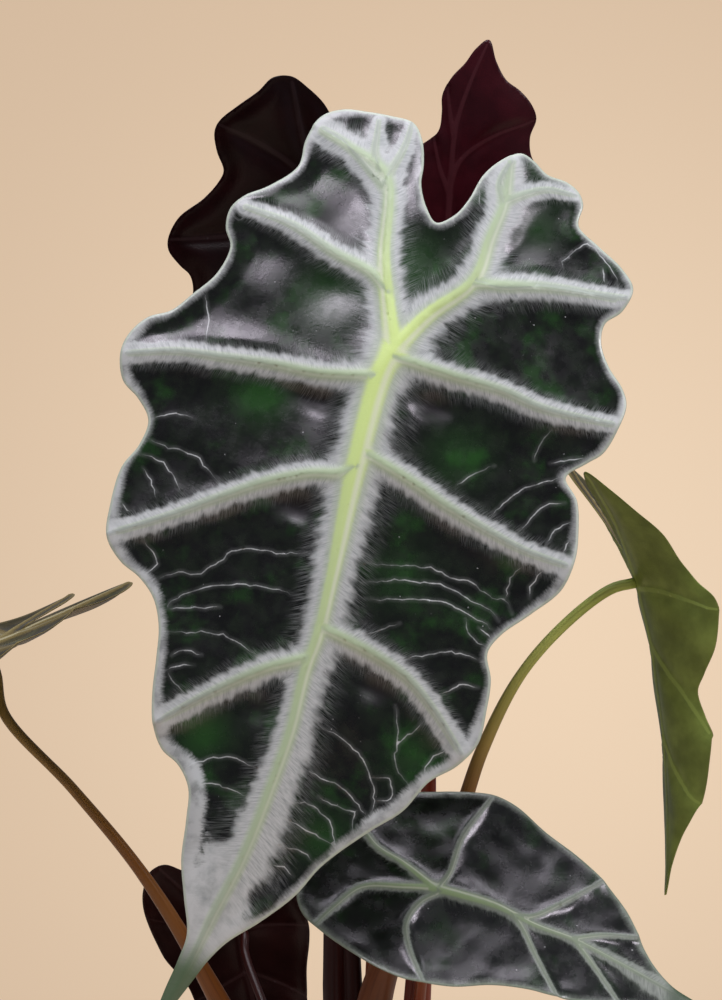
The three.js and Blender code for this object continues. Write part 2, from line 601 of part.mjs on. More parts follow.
// The midrib node that each margin point's spoke starts from: the joint for the lobes,
// then further along the midrib, one node at a step, up to the last node at the tip
function spokeFeet(edge, leaf, lastNode) {
  const tip = edge.reduce((best, point, i) => (point[1] > edge[best][1] ? i : best), 0);
  const footOf = (i) => {
    const shoulder = leaf.shoulders[i <= tip ? 0 : 1];
    const share = THREE.MathUtils.clamp((edge[i][1] - shoulder) / (leaf.length - shoulder), 0, 1);
    return Math.round(lastNode * share ** NODE_BIAS);
  };
  const feet = edge.map((point, i) => (Math.abs(i - tip) < 2 ? lastNode : footOf(i)));
  const sides = [
    Array.from({ length: tip + 1 }, (unused, i) => i),
    Array.from({ length: edge.length - tip }, (unused, i) => edge.length - 1 - i),
  ];
  for (const side of sides) {
    for (let k = 1; k < side.length - 2; k += 1) {
      const before = feet[side[k - 1]];
      feet[side[k]] = Math.min(Math.max(feet[side[k]], before), before + 1);
    }
    for (let k = side.length - 3; k > 0; k -= 1) {
      feet[side[k]] = Math.max(feet[side[k]], feet[side[k + 1]] - 1);
    }
  }
  return feet;
}

// A petiole: straight where it stands in its hole, then swept up to the blade's underside
function petioleGeometry(leaf, petiole) {
  const frame = bladeFrame(leaf);
  const base = onCircle(PETIOLE_RING_RADIUS, petiole.angle);
  const end = frame.joint.clone().addScaledVector(frame.face, -(BLADE_THICKNESS + PETIOLE_TOP_GAP));
  const path = new THREE.CatmullRomCurve3([
    new THREE.Vector3(...base, PETIOLE_STRAIGHT_TOP),
    ...petiole.route.map((point) => new THREE.Vector3(...point)),
    end.clone().addScaledVector(frame.face, -PETIOLE_APPROACH),
    end,
  ], false, 'centripetal');
  const sections = [{
    centre: new THREE.Vector3(...base, PETIOLE_FOOT),
    heading: new THREE.Vector3(0, 0, 1),
    half: petiole.widths[0],
  }];
  for (let k = 0; k <= PETIOLE_STEPS; k += 1) {
    const fraction = 1 - (1 - k / PETIOLE_STEPS) ** PETIOLE_STEP_BIAS;
    let heading = path.getTangentAt(fraction);
    if (k === 0) {
      heading = new THREE.Vector3(0, 0, 1);
    } else if (k === PETIOLE_STEPS) {
      heading = frame.face;
    }
    sections.push({ centre: path.getPointAt(fraction), heading, half: along(petiole.widths, fraction) });
  }
  const sideways = new THREE.Vector3(...onCircle(1, petiole.angle + 90), 0);
  const vertices = [];
  for (const { centre, heading, half } of sections) {
    const wide = sideways.clone().addScaledVector(heading, -sideways.dot(heading)).normalize();
    const deep = new THREE.Vector3().crossVectors(heading, wide);
    for (let j = 0; j < PETIOLE_SIDES; j += 1) {
      const turn = (j * 2 * Math.PI) / PETIOLE_SIDES;
      vertices.push(centre.clone()
        .addScaledVector(wide, half[0] * Math.cos(turn))
        .addScaledVector(deep, half[1] * Math.sin(turn)).toArray());
    }
  }
  return geometryFrom(vertices, tubeTriangles(sections.length, PETIOLE_SIDES));
}

// Triangles of a closed tube of rings, with fans over both ends
function tubeTriangles(rings, sides) {
  const triangles = [];
  for (let k = 0; k + 1 < rings; k += 1) {
    for (let j = 0; j < sides; j += 1) {
      const a = k * sides + j;
      const b = k * sides + ((j + 1) % sides);
      triangles.push([a, b, b + sides], [a, b + sides, a + sides]);
    }
  }
  const last = (rings - 1) * sides;
  for (let j = 1; j + 1 < sides; j += 1) {
    triangles.push([0, j + 1, j], [last, last + j, last + j + 1]);
  }
  return triangles;
}

function named(name, geometry, material) {
  const mesh = new THREE.Mesh(geometry, material);
  mesh.name = name;
  return mesh;
}

const plant = new THREE.Group();
plant.add(named('pot', potGeometry(), MATERIALS.terracotta));
plant.add(named('soil', soilGeometry(), MATERIALS.soil));
plant.add(named('rhizome', rhizomeGeometry(), MATERIALS.rhizome));
for (const [name, leaf] of Object.entries(LEAVES)) {
  plant.add(named(`petiole_${name}`, petioleGeometry(leaf, PETIOLES[name]), MATERIALS.petiole));
  plant.add(named(`blade_${name}`, bladeGeometry(leaf), MATERIALS.blade));
}

export default plant;
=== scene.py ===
"""A potted alocasia: the looks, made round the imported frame."""

import math

import bpy
import numpy as np
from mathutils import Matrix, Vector, noise
from mathutils.geometry import delaunay_2d_cdt
from mathutils.kdtree import KDTree


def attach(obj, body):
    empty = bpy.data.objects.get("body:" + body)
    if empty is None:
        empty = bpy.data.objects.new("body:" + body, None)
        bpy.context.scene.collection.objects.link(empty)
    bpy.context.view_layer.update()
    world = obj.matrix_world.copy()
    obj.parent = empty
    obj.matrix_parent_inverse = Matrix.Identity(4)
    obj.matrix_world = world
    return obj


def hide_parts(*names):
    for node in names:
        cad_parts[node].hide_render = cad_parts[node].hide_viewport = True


bl_info = {
    "name": "Potted alocasia",
    "version": (1, 0, 0),
    "blender": (4, 5, 0),
    "location": "3D View > Sidebar > Alocasia",
    "description": "Builds a potted alocasia with veined leaves, petioles, soil and a terracotta pot",
    "category": "Object",
}

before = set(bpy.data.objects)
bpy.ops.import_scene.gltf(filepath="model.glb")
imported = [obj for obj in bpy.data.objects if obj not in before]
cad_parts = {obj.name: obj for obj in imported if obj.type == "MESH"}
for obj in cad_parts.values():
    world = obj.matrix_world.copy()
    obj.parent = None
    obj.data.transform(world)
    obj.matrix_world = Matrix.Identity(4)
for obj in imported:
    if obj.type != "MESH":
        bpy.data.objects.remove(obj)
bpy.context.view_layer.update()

# Camera and photograph
MM = 0.001
CAMERA_PLACE = (0, -880, 395)
CAMERA_LENS = 85
SENSOR = 36
PHOTO_WIDTH = 722
PHOTO_HEIGHT = 1000
FOCAL_PIXELS = CAMERA_LENS / SENSOR * PHOTO_HEIGHT
AIM_ROUNDS = 6

# Leaves: each blade is drawn pressed flat, in mm from its petiole joint, x across and y tipward
LEAVES = {
    "main": {
        "joint": (10.7, -92, 445), "tipward": (-0.342, -0.143, -0.929), "face": (-0.05, -0.985, 0.17),
        "length": 238, "tip_sag": 25, "lobe_length": 85, "lobe_sag": 16, "fold": (-0.1, -0.1),
        "margin": (
            (-2, -48), (-7, -52), (-12, -60), (-14, -68), (-18, -77), (-23, -82), (-31, -82), (-39, -81),
            (-48, -79), (-54, -74), (-56, -64), (-55, -54), (-62, -43), (-68, -37), (-71, -31), (-70, -24),
            (-66, -18), (-67, -7), (-72, 2), (-77, 10), (-84, 15), (-88, 23), (-88, 30), (-84, 38),
            (-77, 42), (-71, 48), (-71, 57), (-74, 66), (-73, 79), (-70, 90), (-63, 96), (-55, 99),
            (-48, 104), (-43, 112), (-40, 122), (-37, 134), (-33, 144), (-28, 150), (-21, 153), (-15, 159),
            (-12, 169), (-9, 182), (-4, 193), (1, 204), (1, 213), (0, 225), (0, 238),
            (5, 225), (8, 216), (10, 210), (14, 202), (22, 192), (30, 180), (35, 168), (46, 152),
            (54, 142), (59, 130), (66, 122), (70, 113), (69, 102), (67, 92), (63, 84), (65, 77),
            (72, 67), (79, 56), (80, 45), (78, 36), (74, 26), (68, 20), (73, 13), (77, 8), (79, -1),
            (79, -10), (76, -15), (69, -21), (64, -28), (63, -35), (67, -41), (68, -50), (62, -56),
            (52, -61), (43, -66), (42, -74), (39, -78), (34, -80), (27, -80), (21, -83), (16, -84),
            (11, -79), (7, -71), (5.4, -60), (3, -53),
        ),
        "midrib": (
            (0, 0), (-1, 10), (2, 43), (7, 79), (9, 97), (9, 110), (11, 130), (11, 151), (10, 175),
            (7, 196), (5, 213), (3, 225), (0, 238),
        ),
        "lower": (
            ((0, 0), (-14, -29), (-25, -60), (-40, -66), (-52, -69)),
            ((-9, -19), (-17, -24), (-32, -27), (-49, -32), (-66, -33)),
            ((-3, 10), (-21, 15), (-37, 17), (-54, 20), (-70, 23), (-86, 29)),
            ((2, 41), (-3, 45), (-12, 48), (-26, 56), (-39, 66), (-53, 77), (-70, 89)),
            ((8, 106), (-4, 114), (-14, 123), (-22, 131), (-32, 142)),
        ),
        "upper": (
            ((0, 0), (7, -16), (17, -33), (17, -50), (17, -65), (14, -79)),
            ((17, -32), (38, -39), (55, -43), (67, -46)),
            ((1, 2), (23, 1), (39, 0), (53, 1), (77, -2)),
            ((4, 36), (19, 39), (34, 43), (49, 46), (63, 48), (78, 48)),
            ((9, 95), (26, 97), (41, 101), (53, 108), (66, 118)),
        ),
    },
    "lower_right": {
        "joint": (25.5, -66, 261.6), "tipward": (0.944, -0.157, -0.289), "face": (0.05, -0.8, 0.6),
        "length": 98, "tip_sag": 9, "lobe_length": 45, "lobe_sag": 4, "fold": (0.08, -0.05),
        "margin": (
            (3, -38.5), (-2, -41), (-9, -45), (-18, -44), (-25, -39), (-29, -31), (-33, -19), (-36, -8),
            (-37, 2), (-34, 16), (-28, 29), (-25, 41), (-24, 50), (-21, 62), (-17, 75), (-12, 87),
            (-7, 98), (-4, 87), (1, 79), (10, 71), (18, 64), (24, 56), (31, 43), (36, 30), (42, 17),
            (43, 8), (40, -5), (36, -17), (34, -28), (30, -37), (23, -43), (14, -43), (8, -40.5),
        ),
        "midrib": ((0, 0), (1, 21), (-1, 36), (-1, 50), (-3, 67), (-6, 87), (-7, 98)),
        "lower": (
            ((0, 0), (-3, -10), (-8, -24), (-18, -30), (-27, -34)),
            ((-1, 2), (-7, -3), (-16, -5), (-24, -2), (-36, 7)),
            ((0, 28), (-4, 33), (-12, 40), (-24, 51)),
            ((-2, 52), (-8, 60), (-18, 72)),
        ),
        "upper": (
            ((0, 0), (6, -14), (9, -24), (17, -34), (22, -42)),
            ((0, 1), (7, 3), (23, 3), (42, 8)),
            ((0, 30), (2, 35), (11, 43), (25, 54)),
            ((-1, 50), (5, 60), (9, 71)),
        ),
    },
    "upper_left": {
        "joint": (-17, 55, 506.7), "tipward": (-0.262, 0.227, -0.938), "face": (-0.4, 0.859, 0.32),
        "length": 150, "tip_sag": 18, "lobe_length": 58, "lobe_sag": 8, "fold": (-0.1, -0.1),
        "margin": (
            (1, -28), (-4, -36), (-10, -42), (-18, -43), (-26, -38), (-31, -30), (-36, -22), (-36, -14),
            (-34, -6), (-37, 2), (-42, 10), (-41, 20), (-36, 30), (-34, 40), (-37, 50), (-39, 60),
            (-36, 70), (-30, 80), (-27, 90), (-26, 100), (-20, 112), (-13, 124), (-6, 138), (0, 150),
            (5, 140), (12, 130), (20, 118), (28, 106), (32, 94), (34, 84), (40, 76), (48, 66), (50, 56),
            (47, 46), (47, 37), (50, 31), (55, 28), (61, 23), (62, 18), (60, 10), (52, 1), (48, -6),
            (47, -11), (52, -18), (55, -25), (54, -30), (49, -37), (43, -44), (39, -50), (31, -52),
            (22, -49), (14, -45), (9, -41), (4, -36),
        ),
        "midrib": ((0, 0), (1, 30), (2, 70), (1, 110), (0, 150)),
        "lower": (
            ((0, 0), (-8, -14), (-16, -27), (-19, -41)),
            ((-5, -9), (-16, -13), (-25, -16), (-35, -18)),
            ((0, 4), (-14, 8), (-28, 12), (-41, 15)),
            ((1, 28), (-12, 36), (-26, 48), (-38, 59)),
            ((2, 60), (-8, 72), (-18, 86), (-26, 99)),
        ),
        "upper": (
            ((0, 0), (9, -16), (20, -33), (30, -50)),
            ((7, -12), (22, -20), (38, -25), (54, -28)),
            ((0, 3), (20, 8), (40, 14), (61, 19)),
            ((1, 27), (16, 36), (33, 48), (49, 58)),
            ((2, 60), (12, 74), (22, 88), (31, 98)),
        ),
    },
    "upper_right": {
        "joint": (30.9, 20, 464.4), "tipward": (0.186, -0.296, 0.937), "face": (0, 0.954, 0.301),
        "length": 105, "tip_sag": -8, "lobe_length": 43, "lobe_sag": 5, "fold": (0.1, 0.1),
        "margin": (
            (0, -24), (-4, -30), (-9, -38), (-17, -43), (-25, -40), (-31, -31), (-33, -20), (-37, -10),
            (-42, 0), (-42, 10), (-37, 20), (-35, 28), (-37, 38), (-36, 48), (-29, 56), (-21, 62),
            (-15, 69), (-15, 76), (-16, 82), (-14, 89), (-10, 95), (-7, 101), (-3, 105), (1, 98),
            (6, 92), (12, 89), (17, 85), (20, 80), (19, 73), (21, 66), (27, 60), (33, 52), (36, 42),
            (34, 34), (35, 26), (41, 16), (43, 6), (40, -4), (35, -10), (34, -18), (31, -28), (25, -36),
            (17, -40), (9, -37), (4, -30),
        ),
        "midrib": ((0, 0), (-4, 30), (-7, 51), (-9, 72), (-7, 88), (-3, 105)),
        "lower": (
            ((0, 0), (-8, -14), (-14, -27), (-19, -42)),
            ((0, 3), (-14, 4), (-28, 5), (-41, 6)),
            ((-3, 22), (-14, 28), (-26, 37), (-36, 46)),
            ((-6, 46), (-12, 56), (-17, 68)),
            ((-9, 68), (-12, 76), (-15, 86)),
        ),
        "upper": (
            ((0, 0), (8, -13), (14, -26), (19, -40)),
            ((0, 3), (14, 4), (28, 6), (42, 8)),
            ((-3, 22), (10, 30), (22, 38), (34, 48)),
            ((-7, 49), (-5, 60), (4, 70), (19, 79)),
        ),
    },
    "right": {
        "joint": (101.5, -15, 365), "tipward": (0.25, 0, -0.97), "face": (0.95, 0.12, 0.25),
        "length": 113, "tip_sag": 19, "lobe_length": 45, "lobe_sag": 16, "fold": (0.5, 0.5),
        "margin": (
            (0, -12), (-2.5, -20), (-5, -30), (-8, -40), (-12, -44), (-17, -36), (-22, -26), (-27, -16),
            (-28, -5), (-32, 3), (-38, 10), (-38, 17), (-35, 27), (-27, 36), (-22, 42), (-24, 51),
            (-27, 59), (-25, 69), (-18, 84), (-10, 93), (-4, 103), (0, 113), (8, 103), (16, 92), (23, 80),
            (28, 68), (31, 57), (28, 47), (29, 37), (35, 26), (38, 14), (38, 5), (31, -3), (26, -12),
            (28, -24), (26, -36), (20, -46), (13, -48), (7, -42), (4, -31), (2, -20),
        ),
        "midrib": ((0, 0), (0, 40), (0, 80), (0, 113)),
        "lower": (
            ((0, 0), (-5, -15), (-9, -29), (-11, -43)),
            ((0, 2), (-13, 4), (-26, 9), (-38, 14)),
            ((0, 22), (-9, 33), (-18, 44), (-26, 57)),
            ((0, 56), (-6, 66), (-13, 75), (-19, 81)),
        ),
        "upper": (
            ((0, 0), (6, -16), (11, -31), (15, -46)),
            ((0, 2), (13, 3), (26, 6), (38, 10)),
            ((0, 22), (11, 32), (21, 43), (30, 55)),
            ((0, 56), (8, 66), (15, 74), (22, 80)),
        ),
    },
    "left": {
        "joint": (-137, -25, 342), "tipward": (-0.751, -0.501, -0.431), "face": (-0.427, -0.129, 0.895),
        "length": 150, "tip_sag": 34, "lobe_length": 50, "lobe_sag": 3, "fold": (0.05, 0.05),
        "margin": (
            (0, -20), (-5, -30), (-12, -42), (-21, -50), (-30, -51), (-36, -44), (-39, -32), (-41, -18),
            (-47, -8), (-55, 2), (-57, 12), (-52, 24), (-48, 34), (-50, 46), (-48, 60), (-40, 72),
            (-33, 84), (-32, 96), (-26, 108), (-17, 124), (-8, 138), (0, 150), (9, 137), (18, 122),
            (27, 106), (31, 94), (33, 83), (42, 70), (49, 57), (49, 45), (46, 34), (51, 23), (56, 11),
            (54, 1), (46, -8), (40, -18), (39, -32), (36, -44), (29, -51), (20, -50), (12, -42), (5, -30),
        ),
        "midrib": ((0, 0), (1, 40), (2, 80), (1, 120), (0, 150)),
        "lower": (
            ((0, 0), (-9, -16), (-18, -33), (-26, -50)),
            ((-6, -12), (-18, -15), (-30, -18), (-40, -22)),
            ((0, 3), (-19, 5), (-38, 8), (-56, 10)),
            ((1, 28), (-14, 34), (-32, 45), (-49, 55)),
            ((2, 62), (-8, 72), (-20, 84), (-31, 97)),
        ),
        "upper": (
            ((0, 0), (9, -16), (18, -33), (26, -50)),
            ((6, -12), (18, -15), (30, -18), (39, -22)),
            ((0, 3), (19, 5), (38, 8), (55, 9)),
            ((1, 28), (15, 34), (33, 44), (49, 53)),
            ((2, 62), (10, 72), (21, 84), (31, 95)),
        ),
    },
    "lower_left": {
        "joint": (-49.5, 70, 224), "tipward": (0.15, 0.254, -0.956), "face": (-0.301, 0.932, 0.201),
        "length": 82, "tip_sag": 8, "lobe_length": 36, "lobe_sag": 4, "fold": (-0.1, -0.1),
        "margin": (
            (-2, -12), (-5, -17), (-9, -24), (-15, -31), (-22, -32), (-27, -25), (-26, -15), (-25, -6),
            (-27, 1), (-28, 7), (-27, 13), (-24, 24), (-22, 37), (-19, 50), (-14, 62), (-8, 74),
            (-1, 82), (5, 72), (12, 60), (18, 48), (22, 36), (23, 27), (25, 18), (29, 10), (32, 4),
            (34, -3), (36, -12), (37, -21), (36, -28), (32, -35), (26, -36), (19, -31), (12, -26), (4, -18),
        ),
        "midrib": ((0, 0), (0, 30), (-1, 60), (-1, 82)),
        "lower": (
            ((0, 0), (-7, -10), (-14, -20), (-19, -31)),
            ((0, 2), (-10, 2), (-19, 4), (-28, 7)),
            ((0, 20), (-8, 25), (-16, 31), (-23, 38)),
            ((0, 42), (-6, 50), (-14, 60)),
        ),
        "upper": (
            ((0, 0), (10, -11), (20, -23), (28, -35)),
            ((0, 2), (12, -2), (23, -8), (36, -15)),
            ((0, 20), (9, 22), (17, 24), (24, 26)),
            ((0, 42), (6, 48), (14, 56)),
        ),
    },
}

PETIOLES = {
    "main": {
        "angle": 24, "route": ((21, 4, 205), (25, -8, 292), (23, -32, 380), (16, -62, 438)),
        "widths": ((6.6, 6.6), (5.6, 5), (3.6, 3.4), (2.4, 2.4), (2.2, 2.2), (2.4, 2.4)),
    },
    "lower_right": {
        "angle": -22, "route": ((19, -14, 165), (21, -32, 215), (24, -50, 246)),
        "widths": ((6.6, 6.6), (5.2, 4.6), (3.4, 3), (2.4, 2.4), (2.1, 2.1), (2.2, 2.2)),
    },
    "upper_left": {
        "angle": 116, "route": ((-7, 18, 205), (-10, 22, 300), (-14, 25, 410), (-17, 36, 482)),
        "widths": ((6.6, 6.6), (8, 5), (5, 4), (3.2, 3), (2.3, 2.3), (2.3, 2.3)),
    },
    "upper_right": {
        "angle": 70, "route": ((6, 15, 200), (10, 8, 300), (22, 2, 400), (29, 7, 452)),
        "widths": ((6.6, 6.6), (5, 4.6), (3.4, 3.2), (2.4, 2.4), (2, 2), (2.1, 2.1)),
    },
    "right": {
        "angle": -72,
        "route": (
            (4, -20, 207), (15, -23, 240), (31, -24, 267), (44, -22, 304), (58, -20, 331), (75, -17, 350),
        ),
        "widths": ((6.6, 6.6), (8, 5.4), (5, 4.2), (3.2, 3.2), (2.2, 2.2), (2.3, 2.3)),
    },
    "left": {
        "angle": -150,
        "route": ((-30, -12, 165), (-54, -14, 215), (-79, -20, 258), (-104, -25, 290), (-129, -27, 318)),
        "widths": ((6.6, 6.6), (6, 4.8), (3.8, 3.6), (2.6, 2.6), (2.1, 2.1), (2.3, 2.3)),
    },
    "lower_left": {
        "angle": 162, "route": ((-24, 18, 165), (-37, 38, 196), (-46, 56, 216)),
        "widths": ((6.6, 6.6), (4.8, 4), (3, 2.8), (2.1, 2.1), (1.9, 1.9), (2, 2)),
    },
}

# Half widths of the pale bands along the main midrib, in mm, by distance from the joint
MIDRIB_HALO_AT = (0, 28, 75, 96, 120, 135, 150, 163, 172, 188, 220, 238)
MIDRIB_HALO_LEFT = (9, 9.5, 8, 6.6, 5.4, 6.2, 6, 7.4, 9.8, 16, 20, 3)
MIDRIB_HALO_RIGHT = (9, 9.5, 8, 7.8, 8, 8.6, 9.6, 9.8, 9.8, 10.5, 14, 3)

# Wide veins: half widths of pale band and core from foot to end, ridge height, in mm, and sap at both ends
MIDRIB = (None, (4.2, 3.8, 2.3, 1.9, 1.7, 1.4, 0.7), 1.0, (1, 0.1))
LOBE_RIB = ((8, 6.8, 6.2, 5), (3.2, 2.4, 1.9, 1.2), 0.8, (0.95, 0.3))
SIDE_RIB = ((4.8, 4.6, 4.2, 3.4), (1.8, 1.6, 1.2, 0.8), 0.65, (0.5, 0.05))
BRANCH = ((4.4, 3.6, 2.6), (1.3, 1, 0.6), 0.4, (0.3, 0.1))
VEIN_STEP = 2
MIDRIB_TURN = 4

# Where veins meet, a higher fillet gives a sharper corner; a field stops at far and near
FILLET = 4
FAR = 9.0
NEAR = 0.02

# How the core and ridge follow a narrower vein, and the ridge's width, spread and thinning to its end
CORE_SCALING = 0.8
RIDGE_SCALING = 0.5
RIDGE_WIDTH = 0.85
RIDGE_SPREAD = 0.3
RIDGE_THINNING = 0.6
# How far, in core widths, the lit side reaches for the painted glint
LIT_REACH = 3

# Keeps the pattern along one vein apart from that along the next, in mm
VEIN_PATTERN_GAP = 400

# Fine veins, in mm: distance between their points, wander and how often, taper, ridge height and width
FINE_STEP = 1.6
FINE_SWAY = 0.9
FINE_SWAY_RATE = 0.4
FINE_TAPER = 0.3
FINE_RIDGE = 0.06
FINE_RIDGE_WIDTH = 0.7

# How wide each leaf's pale bands are against the main leaf's
VEIN_SCALE = {
    "main": 1, "lower_right": 0.32, "upper_left": 0.6, "upper_right": 0.42, "right": 0.42,
    "left": 0.6, "lower_left": 0.3,
}

# Second branches of the main leaf's ribs, read from the photograph in pixels
MAIN_BRANCHES = {
    "left_lobe_left_arm": ((383, 185), (372, 173), (357, 155), (341, 139), (323, 128)),
    "left_lobe_right_arm": ((383, 185), (388, 175), (402, 152), (409, 135), (412, 123)),
    "left_lobe_middle": ((380, 170), (375, 155), (377, 135), (379, 121)),
    "right_lobe_right_arm": ((504, 202), (524, 195), (547, 190), (576, 196)),
    "right_lobe_up_arm": ((504, 202), (500, 186), (504, 173), (513, 161)),
    "right_lobe_side": ((475, 282), (502, 287), (547, 286), (580, 291), (614, 300)),
}

# Fine pale veins of the main leaf, read from the photograph in pixels
MAIN_FINE_VEINS = (
    ((152, 420), (165, 414), (180, 413), (195, 418)),
    ((148, 438), (160, 444), (196, 455), (207, 468), (218, 480)),
    ((141, 454), (155, 458), (165, 465), (176, 480), (182, 492)),
    ((141, 467), (150, 480), (157, 500)),
    ((121, 502), (128, 512)),
    ((143, 573), (155, 567), (158, 563), (150, 548), (143, 540)),
    ((152, 583), (165, 575), (178, 571), (190, 574), (205, 571), (215, 563), (237, 549), (280, 552),
     (310, 553)),
    ((165, 608), (176, 597), (208, 586), (245, 584), (265, 586), (300, 597)),
    ((168, 609), (185, 607), (220, 606)),
    ((165, 632), (200, 632), (222, 634), (240, 645), (258, 655)),
    ((170, 655), (182, 650), (200, 653)),
    ((167, 670), (180, 665), (195, 665)),
    ((167, 670), (172, 680), (188, 697)),
    ((183, 777), (190, 765), (217, 757), (235, 758), (258, 770)),
    ((197, 787), (215, 784), (246, 796)),
    ((320, 727), (347, 742), (367, 768), (374, 800), (370, 818)),
    ((303, 768), (338, 786), (352, 797), (368, 818)),
    ((372, 778), (388, 778), (391, 790), (390, 800), (375, 800)),
    ((318, 797), (345, 810), (353, 812), (352, 825), (354, 838)),
    ((290, 802), (305, 803), (328, 820), (337, 850)),
    ((288, 822), (322, 838), (335, 847)),
    ((278, 846), (302, 853), (313, 862)),
    ((270, 866), (283, 868), (293, 876)),
    ((362, 563), (410, 566), (437, 569), (450, 577), (468, 581), (492, 597), (505, 600), (512, 612)),
    ((362, 582), (400, 580), (440, 584), (475, 602), (497, 615), (498, 622)),
    ((365, 599), (440, 601), (460, 609), (495, 630)),
    ((362, 635), (400, 623)),
    ((490, 517), (510, 497), (530, 486), (565, 477)),
    ((520, 530), (545, 506), (565, 502)),
    ((547, 543), (555, 530), (570, 522)),
    ((562, 553), (570, 541)),
    ((522, 565), (512, 575), (505, 598)),
    ((545, 570), (532, 583), (530, 597)),
    ((553, 427), (545, 437), (536, 450), (535, 460)),
    ((550, 463), (585, 458)),
    ((455, 487), (480, 470), (495, 465)),
    ((403, 660), (435, 653), (460, 653), (480, 661)),
    ((440, 697), (460, 685), (478, 688)),
    ((395, 705), (397, 745), (394, 757), (399, 772), (412, 790)),
    ((397, 745), (422, 722)),
    ((447, 747), (427, 763), (424, 775)),
    ((465, 618), (468, 632), (485, 647)),
    ((480, 627), (492, 640)),
    ((562, 275), (563, 262), (573, 251), (587, 244), (600, 255), (614, 275), (618, 289)),
    ((602, 266), (606, 284)),
    ((205, 292), (208, 325), (205, 340)),
    ((346, 132), (346, 119)),
    ((478, 185), (480, 205)),
)

# Green patches of the main leaf's panels: pixel place, reach in mm, strength
MAIN_GREEN_PATCHES = (
    ((265, 395), 9, 0.8), ((160, 150), 12, 0.7), ((325, 300), 12, 0.6), ((560, 170), 10, 0.7),
    ((535, 228), 8, 0.5), ((405, 270), 14, 0.7), ((460, 455), 10, 0.5), ((400, 575), 10, 0.4),
    ((203, 732), 8, 1), ((414, 755), 9, 0.6), ((322, 837), 8, 0.7),
)

# Places of the main leaf where the pale bands and rim spread: pixel place, reach in mm, strength
MAIN_SILVER_PATCHES = (
    ((225, 835), 4, -1.7), ((258, 897), 4, -1.7), ((242, 875), 3, -1.2), ((196, 775), 9, 0.8),
    ((192, 840), 9, 0.7), ((152, 590), 9, 0.5), ((157, 640), 9, 0.4), ((158, 690), 9, 0.4),
    ((432, 806), 16, 0.9), ((470, 745), 12, 0.6), ((112, 520), 14, 0.7), ((160, 740), 12, 0.6),
    ((188, 800), 15, 1), ((205, 900), 18, 1), ((130, 350), 12, 0.6), ((383, 160), 10, 0.8),
    ((330, 125), 9, 0.5), ((505, 190), 8, 0.8), ((380, 835), 12, 0.8), ((560, 575), 10, 0.5),
)

# Hollows and, where negative, swells of the main leaf: pixel place, reaches across and tipward, depth
MAIN_PITS = (
    ((262, 345), 14, 5, -1), ((285, 205), 8, 6, -1), ((495, 420), 12, 6, -1), ((352, 712), 7, 9, -1.2),
    ((236, 745), 6, 9, -1), ((300, 640), 8, 6, -1), ((590, 395), 7, 7, -1), ((392, 525), 8, 6, -1),
    ((318, 398), 9.5, 3.6, 2.4), ((298, 505), 9, 4.4, 2.6), ((428, 405), 8, 3.6, 2.2),
    ((378, 690), 6, 4, 1.4), ((262, 712), 5, 5, 1.2), ((520, 240), 9, 6, 1), ((330, 225), 7, 8, 1),
)

# Upper faces of the young and the olive leaves: panel dark, panel, green, dark and light band, two cores
YOUNG_FACE = ("#090d09", "#131b12", "#1c3a17", "#5d655c", "#858c82", "#75836a", "#8aa070")
OLIVE_FACE = ("#2c2714", "#40381c", "#454a22", "#564a2a", "#70623c", "#7c6f48", "#8c8054")

# Colours of each leaf's underside, and of its petiole from foot to blade
UNDERSIDES = {
    "main": "#25090f", "lower_right": "#240a0d", "upper_left": "#120304", "upper_right": "#2a080e",
    "right": "#6c7a3c", "left": "#4a4224", "lower_left": "#1a0808",
}
PETIOLE_COLOURS = {
    "main": ("#6a2610", "#7a2a14", "#7a3c1e"),
    "lower_right": ("#66260e", "#7a3016", "#7a6a3c"),
    "upper_left": ("#260906", "#2e0b06", "#36140c"),
    "upper_right": ("#7a3a16", "#84401a", "#64301c"),
    "right": ("#5a2815", "#7a4a26", "#b6c466"),
    "left": ("#6a2c10", "#74481c", "#877238"),
    "lower_left": ("#3a140b", "#34100a", "#300e0a"),
}

# Patterns of the upper face: rates along and across a vein for each mm, detail, layer and roughness
STREAK = ((1.7, 0.24), 4)
HAIRS = ((3.0, 0.16), 3, 7)
TUFT = ((0.42, 0.06), 2, 13)
FRINGE = ((1.7, 0.4), 5, 3, 0.7)
SLANT = 0.45
BLOTCH_SCALE = 0.06
CLOUD_SCALE = 0.16
GRAIN_SCALE = 0.9
FLECK_SCALE = 0.22

# Gloss of each kind of upper face, and the faint lavender of its reflections
SHINE = {"grown": 0.42, "young": 0.62, "olive": 0.12}
SHINE_TINT = (1, 0.93, 1, 1)
# Colour of the glint: a highlight painted on the lit side of the vein cores
PAINTED_GLINT = (1, 1, 0.8, 1)

# How much paler than its panels an underside's blotches and veins are
UNDERSIDE_BLOTCH = 1.8
UNDERSIDE_VEIN = 2.2
UNDERSIDE_VEIN_LIFT = 0.008

# A petiole's streaks: rates round it and along it, their shade and the light of its mottles
PETIOLE_STREAKS = (9, 7)
STREAK_SHADE = (0.55, 0.5, 0.48, 1)
MOTTLE_LIGHT = (1.5, 1.45, 1.4, 1)

# Plain colours of the finishes, darker one first
FLECK = "#a9a9aa"
# Near-black painted shade for the deepest hollows
PAINTED_HOLLOW_SHADE = (0.001, 0.001, 0.001, 1)
CLAY_PORE = "#7a3a20"
CLAY_BLOOM = "#d8b9a0"
PEAT = ("#1c120c", "#4a3220")
PERLITE = ("#cfcac0", "#f2eee6")
BARK = ("#2c1a10", "#6b4a30")
FLOOR = ("#dcc6ad", "#e6d2ba")
WALL_DIM = "#d5bba0"
WALL_BRIGHT = "#efd5b8"

